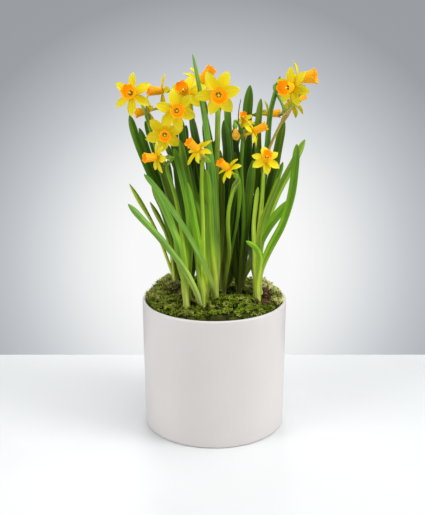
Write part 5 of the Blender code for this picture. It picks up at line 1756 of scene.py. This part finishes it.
# %% Shape the petals
PETAL_ROWS = 18
PETAL_OUTLINE = ((0, 0.1, 0.22, 0.4, 0.56, 0.7, 0.82, 0.91, 0.97, 1.0),
                 (0.34, 0.46, 0.66, 0.93, 1.0, 0.92, 0.7, 0.42, 0.18, 0.03))
TUBE_PROFILE = ((1.7, -13.0), (1.75, -9.5), (1.9, -6.0), (2.3, -3.4), (3.1, -1.7), (4.1, -0.5), (4.3, 0.25),
                (1.0, 0.5))
TUBE_SIDES = 20


def shape_petal(skin, bloom, k, seed, chance):
    """Adds petal k of a bloom. Even ones are the front layer."""
    hub, axis, up, side = bloom_frame(bloom)
    angle = math.pi * k / 3 + math.radians(chance.uniform(-6, 6))
    out = up * math.cos(angle) + side * math.sin(angle)
    wide = np.cross(axis, out)
    length = PETAL_LENGTH * bloom.size * chance.uniform(0.94, 1.03)
    width = PETAL_WIDTH * bloom.size * bloom.breadth * chance.uniform(0.85, 1.08)
    twist = math.radians(chance.uniform(-20, 20))
    nod = chance.uniform(-1.6, 1.8) * bloom.size
    swing = chance.uniform(-1.2, 1.2)
    wave = chance.uniform(0, 6)
    rows = 0.08 + 0.92 * np.linspace(0, 1, PETAL_ROWS) ** 0.9
    widths = width * smooth_radii(PETAL_OUTLINE, rows)
    u = np.linspace(-1, 1, BLADE_COLUMNS)[:, None]
    rings = []
    for s, petal_width in zip(rows, widths):
        rise = -PETAL_LAYER_DROP * (k % 2) + (PETAL_RISE * s - PETAL_DROOP * s**2) * bloom.size + nod * s**2
        point = hub + out * s * length + wide * swing * s**2 + axis * rise
        tilt = twist * s**1.5
        across = wide * math.cos(tilt) + axis * math.sin(tilt)
        high = axis * math.cos(tilt) - wide * math.sin(tilt)
        ring = slit(point, across, high, petal_width, 0.75 - 0.3 * s, 0.10)
        fold = 0.28 * np.cos(u * 7.5) * s * (1 - s) * 3 + 0.42 * np.sin(s * 9 + wave + 2 * u) * np.abs(u) ** 3
        fold = np.concatenate([fold, fold[::-1]]) * bloom.size
        rings.append(ring + high * fold)
    notes = blade_notes(rows * length, widths, seed)
    skin.add(rings, rise=rows[:, None], tone=chance.uniform(0, 1), green=0.0, **notes)


def shape_tube(skin, bloom):
    """Adds the tube behind a bloom, green where it leaves the ovary."""
    hub, axis, up, side = bloom_frame(bloom)
    narrow = min(bloom.size, 1.0)
    radii = np.array([radius * narrow for radius, _ in TUBE_PROFILE])
    heights = np.array([height * (bloom.size if height < -2 else 1) for _, height in TUBE_PROFILE])
    rings = hub + radii[:, None, None] * circle(TUBE_SIDES, up, side) + heights[:, None, None] * axis
    green = np.interp(heights, (-13, -2), (1, 0.1))
    grain = grain_of(np.outer(radii, round_angles(TUBE_SIDES)), heights[:, None], 0.0)
    skin.add(rings, rise=0.1, tone=0.5, green=green[:, None], grain=grain, edge=0.0, half=0.0)


petal_skins = {}
for number, bloom in enumerate(BLOOMS[:-1]):
    petal_chance = np.random.default_rng(100 + number)
    petal_skins[bloom.name] = Skin()
    for k in range(6):
        shape_petal(petal_skins[bloom.name], bloom, k, 6 * number + k, petal_chance)
    shape_tube(petal_skins[bloom.name], bloom)
print(6 * len(petal_skins), "petals")

# %% [markdown]
# The yellow deepens towards the cup and pales at the tips, and fine veins run along the grain. A faint
# glow of the same colour stands for the light that shines through so thin a petal.

# %% Finish the petals
lemon = new_finish("petal_yellow", Roughness=0.6, Specular_IOR_Level=0.12, Emission_Strength=0.10)
petal_veins = grain_noise(lemon, (1.3, 0.08, 5.3))
petal_shade = ramp(lemon, attribute(lemon, "rise"), (0.1, 0.74, 0.45, 0.001),
                   (0.35, 0.74, 0.56, 0.002), (0.7, 0.74, 0.62, 0.010), (1.0, 0.76, 0.67, 0.045))
petal_shade = tint(lemon, petal_shade, 0.5, petal_veins, (0.3, 0.72, 0.76, 0.4), (0.7, 1.04, 1.06, 1.5))
petal_shade = mix(lemon, attribute(lemon, "green"), petal_shade, (0.36, 0.42, 0.03, 1.0))
give(lemon, petal_shade, "Base Color", "Emission Color")
bump(lemon, petal_veins, 0.2, 0.2)
for name, skin in petal_skins.items():
    make_piece("petals_" + name, skin, lemon, "petal", f"bloom_{name}_petals")

# %% [markdown]
# ## Cups
#
# The cup flares from its foot to a frilled mouth. Its wall is lofted up the outside, over the lip and down
# the inside to the throat, with shallow pleats that grow into the frill. Six stamens stand round the style
# in the middle. The inside is deeper in colour towards the throat, where it turns dark olive.

# %% Shape the cups
HUB_TOP = 0.6
CUP_LENGTH = 16.5
CUP_FOOT_RADIUS = 4.5
CUP_MOUTH_RADIUS = 7.0
CUP_WALL = 0.55
CUP_SIDES = 60
CUP_OUTSIDE = (0, 0.05, 0.14, 0.26, 0.4, 0.54, 0.67, 0.78, 0.87, 0.94, 0.98, 1.0)
STAMEN_PROFILE = ((0, 0.45, 0.5, 0.62, 0.85, 0.97, 1.0), (0.3, 0.3, 0.65, 0.85, 0.8, 0.5, 0.1))
STAMEN_RING = 2.0
STAMEN_SIDES = 8
STYLE_PROFILE = ((0, 0.5, 0.85, 0.9, 0.96, 1.0), (0.45, 0.45, 0.5, 0.95, 1.1, 0.3))
STYLE_LENGTH = 10.5


def shape_cup(skin, bloom, chance):
    """Adds a cup: up its outside, over the frilled lip and down the inside."""
    hub, axis, up, side = bloom_frame(bloom)
    angles = round_angles(CUP_SIDES)
    phases = chance.uniform(0, 6, 4)
    frill = 0.32 * np.sin(6 * angles + phases[0]) + 0.26 * np.sin(9 * angles + phases[1])
    frill += 0.14 * np.sin(14 * angles + phases[2])
    notch = 0.55 * np.sin(6 * angles + phases[3]) + 0.25 * np.sin(11 * angles)
    shares = np.array(CUP_OUTSIDE + CUP_OUTSIDE[:0:-1])
    inside = np.array([0.0] * len(CUP_OUTSIDE) + [1.0] * (len(CUP_OUTSIDE) - 1))
    radii = CUP_FOOT_RADIUS + (CUP_MOUTH_RADIUS * bloom.mouth - CUP_FOOT_RADIUS) * shares
    radii += 0.5 * np.clip((shares - 0.85) / 0.15, 0, 1) ** 2 - 0.6 * (1 - shares) ** 10
    radii = radii * bloom.size - CUP_WALL * inside * np.clip(3 - 2.4 * shares, 0.6, 1)
    heights = HUB_TOP + GAP + shares * CUP_LENGTH * bloom.size
    spread = radii[:, None] + np.outer(0.1 * shares + shares**5, frill) * bloom.size
    lift = heights[:, None] + np.outer(shares**6, notch) * bloom.size
    rings = hub + spread[..., None] * circle(CUP_SIDES, up, side) + lift[..., None] * axis
    grain = grain_of(spread * angles, lift, chance.uniform(0, 50))
    glow = inside * (1 - shares)
    skin.add(rings, rise=shares[:, None], inside=inside[:, None], glow=glow[:, None], grain=grain)


def shape_stamens(skin, bloom, chance):
    """Six stamens and a style, standing on the floor of the cup."""
    hub, axis, up, side = bloom_frame(bloom)
    floor = hub + axis * (HUB_TOP + GAP)
    for k in range(7):
        is_style = k == 6
        angle = math.pi * k / 3 + chance.uniform(-0.2, 0.2)
        away = (up * math.cos(angle) + side * math.sin(angle)) * (0.0 if is_style else STAMEN_RING)
        away = away * bloom.size
        reach = (STYLE_LENGTH if is_style else chance.uniform(7.0, 8.6)) * bloom.size
        shares, radii = np.array(STYLE_PROFILE if is_style else STAMEN_PROFILE)
        line = floor + away * (0.5 + 0.5 * shares[:, None]) + axis * reach * shares[:, None]
        skin.add(tube_rings(line, radii * bloom.size, STAMEN_SIDES), tone=float(is_style))


stamen_skin = Skin()
cup_skins = {}
for number, bloom in enumerate(BLOOMS[:-1]):
    cup_chance = np.random.default_rng(300 + number)
    cup_skins[bloom.name] = Skin()
    shape_cup(cup_skins[bloom.name], bloom, cup_chance)
    shape_stamens(stamen_skin, bloom, cup_chance)
print(len(cup_skins), "cups with", len(stamen_skin.points), "stamens and styles")

# %% [markdown]
# Outside and inside have a colour each, and the inside glows a little towards the throat, as light that
# comes through the thin wall does: a painted light. The stamens are painted dark olive, a painted shade round
# the style, and the style in its middle is pale; both glow a little, a painted light.

# %% Finish the cups
orange = new_finish("cup_orange", Roughness=0.6, Specular_IOR_Level=0.2)
cup_rise = attribute(orange, "rise")
outer = ramp(orange, cup_rise, (0.0, 0.93, 0.50, 0.002), (0.4, 0.95, 0.42, 0.002), (1.0, 0.96, 0.42, 0.004))
inner = ramp(orange, cup_rise, (0.0, 0.62, 0.48, 0.02), (0.07, 0.66, 0.42, 0.01), (0.15, 0.96, 0.52, 0.003),
             (0.8, 0.97, 0.42, 0.003), (1.0, 0.96, 0.42, 0.004))
cup_shade = mix(orange, attribute(orange, "inside"), outer, inner)
pleats = grain_noise(orange, (1.6, 0.12, 1.0))
cup_shade = tint(orange, cup_shade, 0.6, pleats, (0.3, 0.90, 0.78, 0.6), (0.7, 1.03, 1.06, 1.2))
give(orange, cup_shade, "Base Color", "Emission Color")
# Painted light: the whole cup glows faintly, and more inside towards the throat.
throat_glow = calc(orange, "MULTIPLY", attribute(orange, "glow"), 0.5)
give(orange, calc(orange, "ADD", 0.08, throat_glow), "Emission Strength")
bump(orange, pleats, 0.2, 0.25)

# Painted light: the stamens and the style glow a little.
pollen = new_finish("pollen_and_style", Roughness=0.7, Emission_Strength=0.22)
grainy = noise(pollen, place_of(pollen), 1800.0)
# Painted shade: the stamens are dark olive round the pale style.
shaded_stamens = ramp(pollen, grainy, (0.35, 0.10, 0.09, 0.008), (0.65, 0.26, 0.20, 0.015))
pollen_shade = mix(pollen, attribute(pollen, "tone"), shaded_stamens, (0.86, 0.86, 0.20, 1.0))
give(pollen, pollen_shade, "Base Color", "Emission Color")

for name, skin in cup_skins.items():
    make_piece("cup_" + name, skin, orange, "cup", f"bloom_{name}_cup")
make_piece("stamens_and_styles", stamen_skin, pollen, "cup")

# %% [markdown]
# ## The spent bloom
#
# The oldest bloom has closed and hangs down, dark orange and wrinkled. Its folds are waves round the loops
# that drift as they go along it.

# %% Wrinkle the spent bloom
SPENT_SHAPE = ((-13, -9, -5, 0, 4, 7, 9, 10.5, 12), (2.6, 4.4, 5.6, 7.0, 7.2, 5.6, 3.8, 2.4, 0.8))
SPENT_ROWS = 26
SPENT_SIDES = 32

hub, axis, up, side = bloom_frame(blooms["spent"])
spent_size = blooms["spent"].size
heights = np.linspace(SPENT_SHAPE[0][0], SPENT_SHAPE[0][-1], SPENT_ROWS)
angles = round_angles(SPENT_SIDES)
folds = 1 + 0.14 * np.sin(5 * angles[None] + heights[:, None] * 0.16)
folds += 0.07 * np.sin(9 * angles[None] - heights[:, None] * 0.3)
radii = smooth_radii(SPENT_SHAPE, heights)[:, None] * folds * spent_size
spent_rings = hub + radii[..., None] * circle(SPENT_SIDES, up, side)
spent_rings += (heights * spent_size)[:, None, None] * axis
spent_skin = Skin()
spent_skin.add(spent_rings, grain=grain_of(radii * angles, heights[:, None], 0.0))

shrivelled = new_finish("shrivelled_petals", Roughness=0.75)
wrinkles = grain_noise(shrivelled, (1.4, 0.2, 1.0), 3.0)
faded = ramp(shrivelled, wrinkles, (0.3, 0.58, 0.22, 0.008), (0.55, 0.80, 0.42, 0.012),
             (0.8, 0.84, 0.62, 0.05))
give(shrivelled, faded, "Base Color")
bump(shrivelled, wrinkles, 0.7, 0.6)
make_piece("spent_bloom", spent_skin, shrivelled, "withered", "bloom_spent")

# %% [markdown]
# Beside it a bare pedicel stands up, dried to a dark thread, whose bloom has already dropped.

# %% Add the dried pedicel
THREAD_STATIONS = ((28, 161), (24.6, 170), (23.4, 181), (24.2, 192), (26, 201))
THREAD_DEPTH = -8
THREAD_RADII = (0.75, 0.35)
THREAD_ROWS = 24
THREAD_SIDES = 6

thread_line = through([place(across, up, THREAD_DEPTH) for across, up in THREAD_STATIONS], THREAD_ROWS)
thread_rings = tube_rings(thread_line, np.linspace(*THREAD_RADII, THREAD_ROWS), THREAD_SIDES)
thread_skin = Skin()
thread_skin.add(thread_rings, grain=grain_of(np.zeros(THREAD_SIDES), lengths(thread_line)[:, None], 1.0))
dark_thread = new_finish("dried_pedicel", Roughness=0.8)
blotches = grain_noise(dark_thread, (1.0, 0.5, 1.0))
nearly_black = ramp(dark_thread, blotches, (0.4, 0.02, 0.018, 0.012), (0.6, 0.16, 0.15, 0.12))
give(dark_thread, nearly_black, "Base Color")
make_piece("dried_pedicel", thread_skin, dark_thread, "withered")

# %% [markdown]
# ## Soil and bulbs
#
# These solids stay as they are, since nobody sees them in the closed pot, but each gets its own finish:
# dark crumbly soil, and dry brown bulb skin with streaks that run from foot to tip.

# %% Finish the soil and bulbs
earth = new_finish("dark_soil", Roughness=0.95)
crumbly = noise(earth, place_of(earth), 260.0, 5.0)
earth_brown = ramp(earth, crumbly, (0.35, 0.012, 0.008, 0.005), (0.6, 0.06, 0.038, 0.022),
                   (0.8, 0.16, 0.11, 0.07))
give(earth, earth_brown, "Base Color")
bump(earth, crumbly, 0.8, 1.5)

tunic = new_finish("bulb_tunic", Roughness=0.6)
papery_lines = noise(tunic, place_of(tunic), 400.0, 4.0, (1.0, 1.0, 0.06))
tunic_brown = ramp(tunic, papery_lines, (0.3, 0.13, 0.05, 0.02), (0.55, 0.34, 0.17, 0.07),
                   (0.75, 0.55, 0.34, 0.17))
give(tunic, tunic_brown, "Base Color")
bump(tunic, papery_lines, 0.5, 0.5)

for name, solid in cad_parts.items():
    if name == "soil" or name.startswith("bulb_"):
        solid.data.materials.clear()
        solid.data.materials.append(earth if name == "soil" else tunic)
        print(name, "keeps its solid with a new finish")
